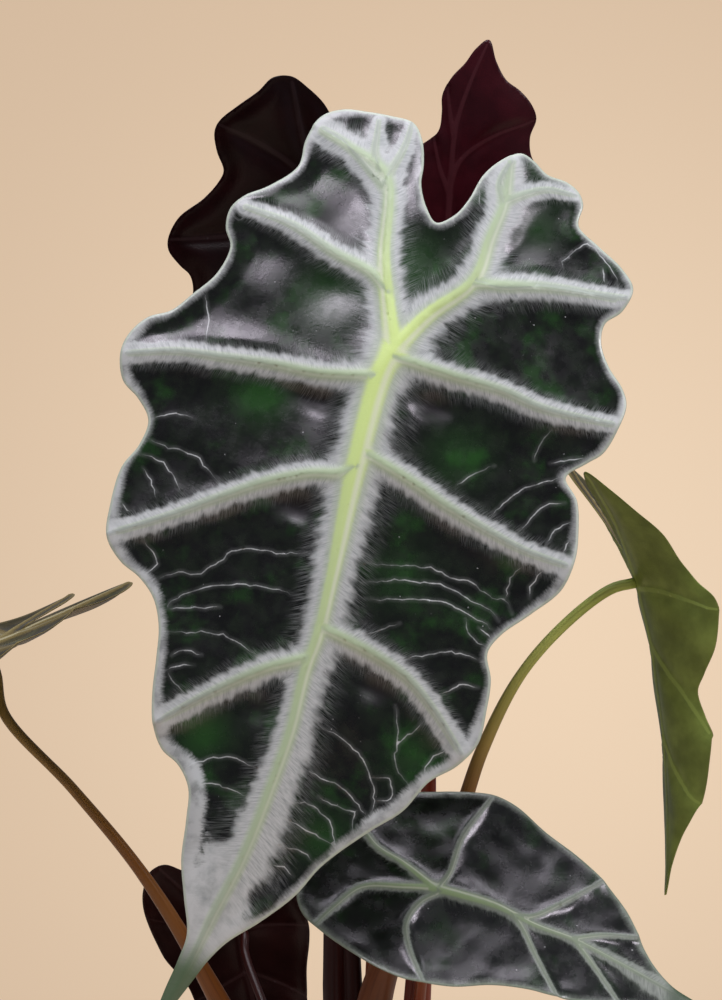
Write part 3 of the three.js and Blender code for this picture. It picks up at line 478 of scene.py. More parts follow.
# Relief of the blades, in mm and as shares of the blade's length, as the solids have it
FULL_LENGTH = 200
QUILT_DEPTH = 3.2
QUILT_REACH = 0.22
QUILT_START = 0.07
QUILT_MIDDLE = 0.11
QUILT_WIDTH = 0.16
MARGIN_WAVE = 2.6
WAVE_START = 0.12
WAVE_FULL = 0.36
CREASE_RADIUS = 4
LOBE_CURL = 1.5
TINY = 1e-6
MAIN_LENGTH = 238

# Finer relief of the blades, in mm; panels begin and end at these numbers of band widths from a vein
PUCKER = 0.9
PUCKER_WAVE = 0.055
PUCKER_SLICE = 3.7
PANEL_EDGE = (0.8, 1.7)
RIM_CALM = 4
SMOOTH_ROUNDS = 50
SHOULDER = 1.4
SHOULDER_WIDTH = 1.5
SHOULDER_RIM = 9
# Depth in mm at which a hollow's painted shade is darkest
PIT_SHADE_FULL_DEPTH = 2.6
RIM_THICKNESS = 0.4
THICKENING = 0.4
THICKENING_REACH = 5
UNDER_RIDGE = 1.1
UNDER_FINE_RIDGE = 0.5
RIM_BULGE = 0.18
TIP_TINT = (0.85, 0.91)

# Mesh of a pressed blade: row height and clearance in spacings, closeness that counts as one point
GRID_ROW = 0.866
GRID_CLEARANCE = 0.55
SAME_POINT = 1e-5
UV_MARGIN = 20

# Petioles, pot, soil and rhizome: sizes in mm, and counts of sides, rings and holes
PETIOLE_RING_RADIUS = 18
PETIOLE_FOOT = 92
PETIOLE_STRAIGHT_TOP = 134
SHEATH_START = 118
PETIOLE_APPROACH = 9
PETIOLE_GAP = 1.5
PETIOLE_SIDES = 28
PETIOLE_RINGS = 110
FOOT_RINGS = 8
POT_HEIGHT = 135
POT_FOOT_RADIUS = 50
POT_BODY_TOP_RADIUS = 68
POT_COLLAR_RADIUS = 75
POT_COLLAR_HEIGHT = 30
POT_COLLAR_WALL = 9
POT_WALL = 6
POT_FLOOR = 8
POT_LIP = 2
POT_SIDES = 128
POT_SMOOTH_ANGLE = 35
DRAIN_HOLES = 3
DRAIN_HOLE_SIDES = 32
DRAIN_HOLE_RADIUS = 5
DRAIN_CIRCLE = 26
SOIL_LEVEL = 120
SOIL_CROWN_RISE = 4
SOIL_CROWN_RADIUS = 32
SOIL_LUMP = 1.2
SOIL_GAP = 0.6
SOIL_DEPTH = 14
SOIL_RINGS = 26
SOIL_ROUGHNESS = 0.8
SOIL_BUMPS = ((0.35, 1.3, 1), (0.9, 5, 0.6))
RHIZOME_RADIUS = 10
RHIZOME_FOOT = 88
RHIZOME_TOP = 141
RHIZOME_CAP = 9
RHIZOME_RINGS = 12
RHIZOME_SWELL = 0.06

# Petioles, in shares of the way up: where they turn from upright, grow slimmer and close their sheath
TURNED_BY = 0.06
HEADING_SPAN = 0.01
SLIMMING = 0.14
SLIMMING_BETWEEN = (0.3, 0.5)
SHEATH_AT_FOOT = 0.6
SHEATH_FULL = 0.1
SHEATH_CLOSES = (0.3, 0.48)

# The sheath's groove and wings: depth and spread as shares of the width, places and widths in degrees
GROOVE_DEPTH = 0.6
GROOVE_WIDTH = 24
WING_SPREAD = 0.1
WING_AT = 44
WING_WIDTH = 15

# A crumb's lumps and stretch against its size, and how high it sits on the soil
CRUMB_LUMPS = (0.7, 1.25)
CRUMB_STRETCH = (0.6, 1.15)
CRUMB_LIFT = 0.25

# Crumbs and perlite grains: count, least and greatest size in mm, seed, distance kept from the pot
CRUMBS = (900, (0.7, 2.2), 11, 2.5)
GRAINS = (90, (0.9, 2), 12, 3)

# Stage, in metres: each light's place, size and tint, where they aim, and the wall's glow
LIGHTS = {
    "key": ((-0.5, -0.75, 1.75), 0.6, (0.95, 0.93, 1)),
    "fill": ((1.05, -0.75, 1.1), 0.4, (0.97, 0.95, 1)),
    "top": ((0.1, -0.1, 1.8), 0.9, (0.95, 0.95, 1)),
}
LIGHTS_AIM = (0, 0, 0.38)
WALL_GLOW_TOWARDS = (0.07, 1, -0.04)
WALL_GLOW_REACH = 0.36
ROOM_TINT = (0.86, 0.88, 1, 1)
ROOM_STRENGTH = 0.2
FLOOR_HEIGHT = -0.0005


def colour(text):
    """Linear colour of a hex text such as #aabbcc."""
    parts = [int(text[k:k + 2], 16) / 255 for k in (1, 3, 5)]
    linear = [p / 12.92 if p <= 0.04045 else ((p + 0.055) / 1.055) ** 2.4 for p in parts]
    return (*linear, 1)


def unit(vector):
    """The vector at length 1."""
    vector = np.array(vector, float)
    return vector / np.linalg.norm(vector)


def smoothstep(x, low, high):
    """Smooth step from 0 at low to 1 at high."""
    u = np.clip((x - low) / (high - low), 0, 1)
    return u * u * (3 - 2 * u)


# Curves
def spline(points, step, closed=False):
    """Points about a step apart on the smooth curve through the given points."""
    points = np.array(points, float)
    count = len(points)
    if closed:
        ring = [points[k % count] for k in range(-1, count + 2)]
    else:
        ring = [2 * points[0] - points[1], *points, 2 * points[-1] - points[-2]]
    curve = []
    for p0, p1, p2, p3 in zip(ring, ring[1:], ring[2:], ring[3:]):
        d0, d1, d2 = (np.linalg.norm(b - a) ** 0.5 for a, b in ((p0, p1), (p1, p2), (p2, p3)))
        t1 = ((p1 - p0) / d0 - (p2 - p0) / (d0 + d1) + (p2 - p1) / d1) * d1
        t2 = ((p2 - p1) / d1 - (p3 - p1) / (d1 + d2) + (p3 - p2) / d2) * d1
        pieces = max(1, round(np.linalg.norm(p2 - p1) / step))
        for u in np.arange(pieces) / pieces:
            curve.append(p1 + t1 * u + (3 * (p2 - p1) - 2 * t1 - t2) * u ** 2
                         + (2 * (p1 - p2) + t1 + t2) * u ** 3)
    if not closed:
        curve.append(points[-1])
    return np.array(curve)


def near_line(points, line):
    """Each point's distance to a line, share of the line and side of it, and the line's length."""
    best = np.full(len(points), np.inf)
    share = np.zeros(len(points))
    side = np.ones(len(points))
    steps = np.linalg.norm(np.diff(line, axis=0), axis=1)
    run = np.concatenate(([0], np.cumsum(steps)))
    for k, (a, b) in enumerate(zip(line, line[1:])):
        d = b - a
        u = np.clip(((points - a) @ d) / (d @ d), 0, 1)
        gap = points - a - u[:, None] * d
        distance = np.hypot(gap[:, 0], gap[:, 1])
        closer = distance < best
        turn = d[0] * (points[:, 1] - a[1]) - d[1] * (points[:, 0] - a[0])
        best = np.where(closer, distance, best)
        share = np.where(closer, (run[k] + u * steps[k]) / run[-1], share)
        side = np.where(closer, np.sign(turn), side)
    return best, share, side, run[-1]


def inside(points, outline):
    """Which points lie inside a closed outline."""
    result = np.zeros(len(points), bool)
    x, y = points[:, 0], points[:, 1]
    for a, b in zip(outline, np.roll(outline, -1, axis=0)):
        if a[1] == b[1]:
            continue
        crosses = (a[1] > y) != (b[1] > y)
        at = a[0] + (y - a[1]) * (b[0] - a[0]) / (b[1] - a[1])
        result ^= crosses & (x < at)
    return result


# Blades
def leaf_axes(leaf):
    """Joint, across, tipward and face directions of a blade."""
    tipward = unit(leaf["tipward"])
    face = np.array(leaf["face"], float)
    face = unit(face - tipward * (face @ tipward))
    return np.array(leaf["joint"], float), np.cross(face, tipward), tipward, face


def midrib_offset(leaf, y):
    """How far the midrib runs to one side of the line from joint to tip."""
    rib = np.array(leaf["midrib"], float)
    return np.interp(np.maximum(y, 0), rib[:, 1], rib[:, 0])


def quilting(leaf, points):
    """Relief of the panels between the ribs, as the solids have it."""
    x, y = points[:, 0], points[:, 1]
    length = leaf["length"]
    offset = x - midrib_offset(leaf, y)
    from_midrib = near_line(points, np.array(leaf["midrib"], float))[0]
    size = min(1, length / FULL_LENGTH)
    result = np.zeros(len(points))
    for ribs, outward in ((leaf["lower"], -1), (leaf["upper"], 1)):
        here = (offset < 0) if outward < 0 else (offset >= 0)
        picked = np.flatnonzero(here)
        if not len(picked):
            continue
        found = [near_line(points[picked], np.array(rib, float)) for rib in ribs]
        sizes = np.array([f[0] for f in found] + [from_midrib[picked]])
        signs = np.array([np.where(f[2] * outward >= 0, 1, -1) for f in found])
        nearest = sizes[:-1].argmin(axis=0)
        each = np.arange(len(picked))
        above = np.where(signs[nearest, each] > 0, nearest, nearest - 1)
        held = np.maximum(above, 0)
        across = sizes[held, each] / (sizes[held, each] + sizes[held + 1, each] + TINY)
        share = from_midrib[picked] / length
        fall = across / QUILT_REACH * np.exp(1 - across / QUILT_REACH)
        fall *= smoothstep(share, 0, QUILT_START) * np.exp(-((share - QUILT_MIDDLE) / QUILT_WIDTH) ** 2)
        wave = np.sin(np.pi * across) * smoothstep(share, WAVE_START, WAVE_FULL)
        relief = -size * (QUILT_DEPTH * fall + MARGIN_WAVE * wave)
        result[picked] = np.where(above < 0, 0, relief)
    return result


def blade_rise(leaf, points):
    """Height of a pressed blade's points over the plane through its joint."""
    x, y = points[:, 0], points[:, 1]
    tip_sag = leaf["tip_sag"] * (np.maximum(y, 0) / leaf["length"]) ** 2
    lobe_sag = leaf["lobe_sag"] * (np.maximum(-y, 0) / leaf["lobe_length"]) ** LOBE_CURL
    slope = np.where(x < 0, leaf["fold"][0], leaf["fold"][1])
    crease = slope * (np.hypot(x, CREASE_RADIUS) - CREASE_RADIUS)
    return crease - tip_sag - lobe_sag + quilting(leaf, points)


def pressed_from_pixels(leaf, pixels):
    """Points of the pressed blade that the camera sees at the given pixels."""
    joint, across, tipward, face = leaf_axes(leaf)
    pixels = np.array(pixels, float)
    eye = np.array(CAMERA_PLACE, float)
    rays = np.stack(((pixels[:, 0] - PHOTO_WIDTH / 2) / FOCAL_PIXELS, np.ones(len(pixels)),
                     (PHOTO_HEIGHT / 2 - pixels[:, 1]) / FOCAL_PIXELS), axis=1)
    height = np.zeros(len(pixels))
    for _ in range(AIM_ROUNDS):
        reach = (height - (eye - joint) @ face) / (rays @ face)
        place = eye - joint + rays * reach[:, None]
        flat = np.stack((place @ across, place @ tipward), axis=1)
        height = blade_rise(leaf, flat)
    return flat


def blade_veins(name, leaf):
    """Every wide vein of a blade: its line, half widths of its band and core, height, sap and lit side."""
    veins = [(spline(leaf["midrib"], VEIN_STEP), *MIDRIB, -1)]
    for ribs, lit in ((leaf["lower"], -1), (leaf["upper"], 1)):
        for k, rib in enumerate(ribs):
            kind = LOBE_RIB if k == 0 else SIDE_RIB
            veins.append((spline(rib, VEIN_STEP), *kind, lit))
    if name == "main":
        for pixels in MAIN_BRANCHES.values():
            line = spline(pressed_from_pixels(leaf, pixels), VEIN_STEP)
            veins.append((line, *BRANCH, 1))
    return veins


def midrib_halo(leaf, points):
    """Half width of the pale band along the midrib beside each point."""
    at = np.maximum(points[:, 1], 0) * MAIN_LENGTH / leaf["length"]
    left = np.interp(at, MIDRIB_HALO_AT, MIDRIB_HALO_LEFT)
    right = np.interp(at, MIDRIB_HALO_AT, MIDRIB_HALO_RIGHT)
    turn = smoothstep(points[:, 0] - midrib_offset(leaf, points[:, 1]), -MIDRIB_TURN, MIDRIB_TURN)
    return left + (right - left) * turn


def widths_at(share, widths):
    """Half width at each share of a vein's length."""
    return np.interp(share, np.linspace(0, 1, len(widths)), widths)


def vein_fields(name, leaf, points):
    """Fields of the wide veins at each point: nearness to bands and cores, ridges, sap and place."""
    scale = VEIN_SCALE[name]
    nearness = np.zeros(len(points))
    closeness = np.zeros(len(points))
    fields = {key: np.zeros(len(points)) for key in ("ridge", "along", "beside", "sap", "lit")}
    halo = np.full(len(points), FAR)
    for k, (line, halo_widths, core_widths, height, sap, lit) in enumerate(blade_veins(name, leaf)):
        distance, share, side, length = near_line(points, line)
        width = midrib_halo(leaf, points) if halo_widths is None else widths_at(share, halo_widths)
        core_width = widths_at(share, core_widths) * scale ** CORE_SCALING
        to_band = np.maximum(distance / (width * scale), NEAR)
        to_core = np.maximum(distance / core_width, NEAR)
        nearness += to_band ** -FILLET
        closeness += to_core ** -FILLET
        shape = np.exp(-(distance / (core_width * RIDGE_WIDTH + RIDGE_SPREAD)) ** 2)
        ridge = height * (1 - RIDGE_THINNING * share) * scale ** RIDGE_SCALING * shape
        fields["ridge"] = np.maximum(fields["ridge"], ridge)
        closer = to_band < halo
        halo = np.where(closer, to_band, halo)
        fields["along"] = np.where(closer, share * length + VEIN_PATTERN_GAP * k, fields["along"])
        fields["beside"] = np.where(closer, distance * side, fields["beside"])
        weight = to_core ** -FILLET
        fields["sap"] += weight * widths_at(share, sap)
        fields["lit"] += weight * np.minimum(to_core, LIT_REACH) * side * lit
    fields["sap"] /= closeness
    fields["lit"] /= closeness
    fields["halo"] = np.minimum(nearness ** (-1 / FILLET), FAR)
    fields["core"] = np.minimum(closeness ** (-1 / FILLET), FAR)
    return fields


def fine_lines(name, leaf):
    """The fine veins of a blade as smooth, slightly wandering lines on the pressed blade."""
    lines = []
    for pixels in MAIN_FINE_VEINS if name == "main" else ():
        line = spline(pressed_from_pixels(leaf, pixels), FINE_STEP)
        sway = np.array([(noise.noise((x, y, 1)), noise.noise((x, y, 6))) for x, y in line * FINE_SWAY_RATE])
        lines.append(line + FINE_SWAY * sway)
    return lines


def blade_points(outline, spacing, lines):
    """Outline, grid and vein points of a pressed blade, with the edges that its mesh keeps."""
    keep = [outline]
    edges = [(k, (k + 1) % len(outline)) for k in range(len(outline))]
    first = len(outline)
    for line in lines:
        line = line[inside(line, outline)]
        if len(line) < 2:
            continue
        keep.append(line)
        edges += [(first + k, first + k + 1) for k in range(len(line) - 1)]
        first += len(line)
    fixed = np.concatenate(keep)
    tree = KDTree(len(fixed))
    for k, (x, y) in enumerate(fixed):
        tree.insert((x, y, 0), k)
    tree.balance()
    low, high = outline.min(axis=0), outline.max(axis=0)
    rows = np.arange(low[1], high[1], spacing * GRID_ROW)
    columns = np.arange(low[0], high[0], spacing)
    grid = np.array([(x + (j % 2) * spacing / 2, y) for j, y in enumerate(rows) for x in columns])
    grid = grid[inside(grid, outline)]
    clear = np.array([tree.find((x, y, 0))[2] > spacing * GRID_CLEARANCE for x, y in grid])
    return np.concatenate((fixed, grid[clear])), edges


def blade_triangles(outline, points, edges):
    """Triangles of a pressed blade inside its outline, clockwise in x and y."""
    flat = [Vector(p) for p in points]
    corners, _, faces, _, _, _ = delaunay_2d_cdt(flat, edges, [], 0, SAME_POINT)
    corners = np.array([tuple(c) for c in corners])
    faces = np.array([f for f in faces if len(f) == 3])
    faces = faces[inside(corners[faces].mean(axis=1), outline)]
    a, b, c = (corners[faces[:, k]] for k in range(3))
    area = (b[:, 0] - a[:, 0]) * (c[:, 1] - a[:, 1]) - (b[:, 1] - a[:, 1]) * (c[:, 0] - a[:, 0])
    faces[area > 0] = faces[area > 0][:, [0, 2, 1]]
    used = np.unique(faces)
    place = np.full(len(corners), -1)
    place[used] = np.arange(len(used))
    return corners[used], place[faces]


def margin_edges(faces):
    """Directed edges that only one face has."""
    pairs = np.concatenate((faces[:, [0, 1]], faces[:, [1, 2]], faces[:, [2, 0]]))
    known = {tuple(p) for p in pairs}
    return [(a, b) for a, b in map(tuple, pairs) if (b, a) not in known]


def smoothed(values, faces, rounds):
    """Values at the mesh's points, evened out with their neighbours."""
    pairs = np.concatenate((faces[:, [0, 1]], faces[:, [1, 2]], faces[:, [2, 0]]))
    starts = np.concatenate((pairs[:, 0], pairs[:, 1]))
    ends = np.concatenate((pairs[:, 1], pairs[:, 0]))
    counts = np.bincount(starts, minlength=len(values))
    for _ in range(rounds):
        values = 0.5 * values + 0.5 * np.bincount(starts, values[ends], len(values)) / counts
    return values


def spots(leaf, corners, places):
    """Sum of soft round spots, each with a pixel place, a reach in mm and a strength."""
    total = np.zeros(len(corners))
    for pixel, reach, strength in places:
        spot = pressed_from_pixels(leaf, [pixel])[0]
        gap = np.hypot(*(corners - spot).T)
        total += strength * np.exp(-(gap / reach) ** 2)
    return total


def blade_fields(name, leaf, corners, outline, lines):
    """Every field of a pressed blade that its relief and its materials read."""
    fields = vein_fields(name, leaf, corners)
    fields["rim"], around, _, girth = near_line(corners, np.concatenate((outline, outline[:1])))
    fields["around"] = around * girth
    fine = np.full(len(corners), FAR)
    for line in lines:
        distance, share, _, _ = near_line(corners, line)
        fine = np.minimum(fine, distance + FINE_TAPER * np.abs(2 * share - 1) ** 3)
    fields["fine"] = fine
    for label, places in (("green", MAIN_GREEN_PATCHES), ("frost", MAIN_SILVER_PATCHES)):
        fields[label] = spots(leaf, corners, places if name == "main" else ())
    # Painted shade of the hollows, filled in with the relief
    fields["pit"] = np.zeros(len(corners))
    fields["tip"] = smoothstep(corners[:, 1] / leaf["length"], *TIP_TINT)
    return fields


def blade_relief(name, leaf, corners, faces, fields):
    """Heights of a pressed blade's upper and lower face; it takes the ridge out of the fields."""
    halo, rim = fields["halo"], fields["rim"]
    ridge = fields.pop("ridge")
    fine_ridge = FINE_RIDGE * np.exp(-(fields["fine"] / FINE_RIDGE_WIDTH) ** 2)
    size = min(1, leaf["length"] / FULL_LENGTH)
    wave = PUCKER_WAVE / size
    pucker = np.array([noise.noise((x, y, PUCKER_SLICE)) for x, y in corners * wave])
    panel = smoothstep(halo, *PANEL_EDGE) * smoothstep(rim, 0, RIM_CALM)
    base = blade_rise(leaf, corners)
    base += (smoothed(base, faces, SMOOTH_ROUNDS) - base) * smoothstep(rim, 0, RIM_CALM)
    base += SHOULDER * size * (np.exp(-(halo / SHOULDER_WIDTH) ** 2) - 1) * smoothstep(rim, 0, SHOULDER_RIM)
    for pixel, wide, long, depth in MAIN_PITS if name == "main" else ():
        spot = pressed_from_pixels(leaf, [pixel])[0]
        gap = (corners - spot) / (wide, long)
        hollow = np.exp(-(gap ** 2).sum(axis=1)) * panel
        base -= depth * hollow
        # Deep hollows also get a painted shade field, which the upper face paints near-black
        fields["pit"] += hollow * max(depth, 0) / PIT_SHADE_FULL_DEPTH
    top = base + ridge + fine_ridge + PUCKER * size * pucker * panel
    thickness = RIM_THICKNESS + THICKENING * smoothstep(rim, 0, THICKENING_REACH)
    under = base - thickness - UNDER_RIDGE * ridge - UNDER_FINE_RIDGE * fine_ridge
    return top, under


def margin_lean(corners, border):
    """The way outwards at each point of the margin."""
    starts = np.array([a for a, b in border])
    ends = np.array([b for a, b in border])
    heading = corners[ends] - corners[starts]
    outward = np.stack((-heading[:, 1], heading[:, 0]), axis=1)
    lean = {}
    for a, b, out in zip(starts, ends, outward / np.linalg.norm(outward, axis=1)[:, None]):
        lean[a] = lean.get(a, 0) + out
        lean[b] = lean.get(b, 0) + out
    return lean


def linked(name, mesh):
    """A new object of a mesh, linked to the scene."""
    piece = bpy.data.objects.new(name, mesh)
    bpy.context.scene.collection.objects.link(piece)
    return piece


def add_field(mesh, label, values):
    """Stores one number at each vertex of a mesh."""
    layer = mesh.attributes.new(label, "FLOAT", "POINT")
    layer.data.foreach_set("value", np.asarray(values, np.float32))


def add_pressed_places(mesh, pressed, lower_start):
    """Stores the pressed places as a field, and as a map with the two faces side by side."""
    layer = mesh.attributes.new("pressed", "FLOAT_VECTOR", "POINT")
    layer.data.foreach_set("vector", np.c_[pressed, np.zeros(len(pressed))].astype(np.float32).ravel())
    uv = mesh.uv_layers.new(name="pressed_uv")
    vertex = np.zeros(len(mesh.loops), int)
    mesh.loops.foreach_get("vertex_index", vertex)
    flat = pressed / (2 * np.abs(pressed).max() + UV_MARGIN) + 0.5
    aside = (vertex >= lower_start) * 0.5
    both = np.c_[flat[vertex, 0] * 0.5 + aside, flat[vertex, 1] * 0.5]
    uv.data.foreach_set("uv", both.astype(np.float32).ravel())


def make_blade(name, leaf, spacing):
    """A blade's object: both faces, a rounded margin, and the fields its materials read."""
    outline = spline(leaf["margin"], spacing, closed=True)
    lines = fine_lines(name, leaf)
    ribs = [vein[0] for vein in blade_veins(name, leaf)]
    points, edges = blade_points(outline, spacing, lines + ribs)
    corners, faces = blade_triangles(outline, points, edges)
    fields = blade_fields(name, leaf, corners, outline, lines)
    top, under = blade_relief(name, leaf, corners, faces, fields)

    border = margin_edges(faces)
    lean = margin_lean(corners, border)
    order = list(lean)
    ring = {vertex: k for k, vertex in enumerate(order)}
    rim_flat = np.array([corners[v] + RIM_BULGE * unit(lean[v]) for v in order])
    flat = np.concatenate((corners, corners, rim_flat))
    height = np.concatenate((top, under, (top[order] + under[order]) / 2))
    joint, across, tipward, face = leaf_axes(leaf)
    vertices = joint + flat[:, :1] * across + flat[:, 1:] * tipward + height[:, None] * face

    # Upper points come first, then the lower ones, then those of the margin
    count = len(corners)
    walls = []
    for a, b in border:
        outer_a, outer_b = 2 * count + ring[a], 2 * count + ring[b]
        walls.append((b, a, outer_a, outer_b))
        walls.append((outer_b, outer_a, a + count, b + count))
    lower = faces[:, ::-1] + count
    polygons = [*map(tuple, faces.tolist()), *map(tuple, lower.tolist()), *walls]
    mesh = bpy.data.meshes.new(f"leaf_{name}")
    mesh.from_pydata((vertices * MM).tolist(), [], polygons)
    mesh.update()
    for label, values in fields.items():
        add_field(mesh, label, np.concatenate((values, values, values[order])))
    add_pressed_places(mesh, np.concatenate((corners, corners, corners[order])), count)

    # The lower face and the lower half of the margin have the second material
    is_under = np.zeros(len(polygons), np.int32)
    is_under[len(faces):2 * len(faces)] = 1
    is_under[2 * len(faces) + 1::2] = 1
    mesh.polygons.foreach_set("material_index", is_under)
    mesh.shade_smooth()
    return linked(f"leaf_{name}", mesh)


# Materials
class Shading:
    """A material's nodes, added one at a time and joined by their sockets."""

    def __init__(self, name):
        self.material = bpy.data.materials.new(name)
        self.material.use_nodes = True
        self.nodes = self.material.node_tree.nodes
        self.links = self.material.node_tree.links
        self.surface = self.nodes["Principled BSDF"]

    def node(self, kind, settings=None, **inputs):
        """A new node; an input is named, or numbered as in _0."""
        made = self.nodes.new(kind)
        for key, value in (settings or {}).items():
            setattr(made, key, value)
        for key, value in inputs.items():
            self.put(made, int(key[1:]) if key[0] == "_" else key.replace("_", " "), value)
        return made

    def put(self, node, socket, value):
        """Joins another node's output to a socket, or sets the socket to a plain value."""
        if isinstance(value, bpy.types.NodeSocket):
            self.links.new(value, node.inputs[socket])
        else:
            node.inputs[socket].default_value = value

    def field(self, name):
        """A number that the mesh holds at each vertex."""
        return self.node("ShaderNodeAttribute", {"attribute_name": name}).outputs["Fac"]

    def vector_field(self, name):
        """A vector that the mesh holds at each vertex."""
        return self.node("ShaderNodeAttribute", {"attribute_name": name}).outputs["Vector"]

    def math(self, operation, a, b=0.0, clamp=False):
        """Any sum of two numbers, held between 0 and 1 where it is clamped."""
        made = self.node("ShaderNodeMath", {"operation": operation, "use_clamp": clamp}, _0=a, _1=b)
        return made.outputs[0]

    def plus(self, a, b, clamp=False):
        """a + b."""
        return self.math("ADD", a, b, clamp)

    def minus(self, a, b):
        """a - b."""
        return self.math("SUBTRACT", a, b)

    def times(self, a, b):
        """a * b."""
        return self.math("MULTIPLY", a, b)

    def sway(self, pattern, reach):
        """A pattern's swing to both sides of its middle."""
        return self.times(self.minus(pattern, 0.5), reach)

    def step(self, value, low, high, start=0.0, end=1.0):
        """A smooth step from start to end, while the value goes from low to high."""
        made = self.node("ShaderNodeMapRange", {"interpolation_type": "SMOOTHSTEP"}, Value=value)
        for socket, number in (("From Min", low), ("From Max", high), ("To Min", start), ("To Max", end)):
            self.put(made, socket, number)
        return made.outputs[0]

    def mix(self, share, a, b, kind="MIX"):
        """Colour a with a share of colour b."""
        made = self.node("ShaderNodeMix", {"data_type": "RGBA", "blend_type": kind}, _0=share, _6=a, _7=b)
        return made.outputs[2]

    def scaled(self, vector, scale):
        """A place with each axis scaled."""
        made = self.node("ShaderNodeMapping", {"vector_type": "POINT"}, Vector=vector)
        made.inputs["Scale"].default_value = scale
        return made.outputs[0]

    def noise(self, vector, scale, detail=3.0, roughness=0.55):
        """Cloudy noise."""
        made = self.node("ShaderNodeTexNoise", Vector=vector, Scale=scale, Detail=detail,
                         Roughness=roughness)
        return made.outputs["Fac"]

    def strands(self, along, across, rates, detail, layer=0.0, roughness=0.55):
        """Noise drawn out into streaks or hairs by its two rates."""
        place = self.join(self.times(along, rates[0]), self.times(across, rates[1]), layer)
        return self.noise(place, 1.0, detail, roughness)

    def cells(self, vector, scale, feature="DISTANCE_TO_EDGE"):
        """A net of cells, or dots with the feature F1."""
        made = self.node("ShaderNodeTexVoronoi", {"feature": feature}, Vector=vector, Scale=scale)
        return made.outputs["Distance"]

    def join(self, x, y, z=0.0):
        """A vector of three numbers."""
        return self.node("ShaderNodeCombineXYZ", X=x, Y=y, Z=z).outputs[0]

    def place(self):
        """The place on the object, in metres."""
        return self.node("ShaderNodeTexCoord").outputs["Object"]

    def bump(self, height, distance, strength=1.0, after=None):
        """Fine relief, laid over an earlier one where that is given."""
        made = self.node("ShaderNodeBump", Height=height, Distance=distance, Strength=strength)
        if after is not None:
            self.put(made, "Normal", after)
        return made.outputs[0]

    def finish(self, **sockets):
        """Sets the shader's sockets and gives the material back."""
        for key, value in sockets.items():
            self.put(self.surface, key.replace("_", " "), value)
        return self.material


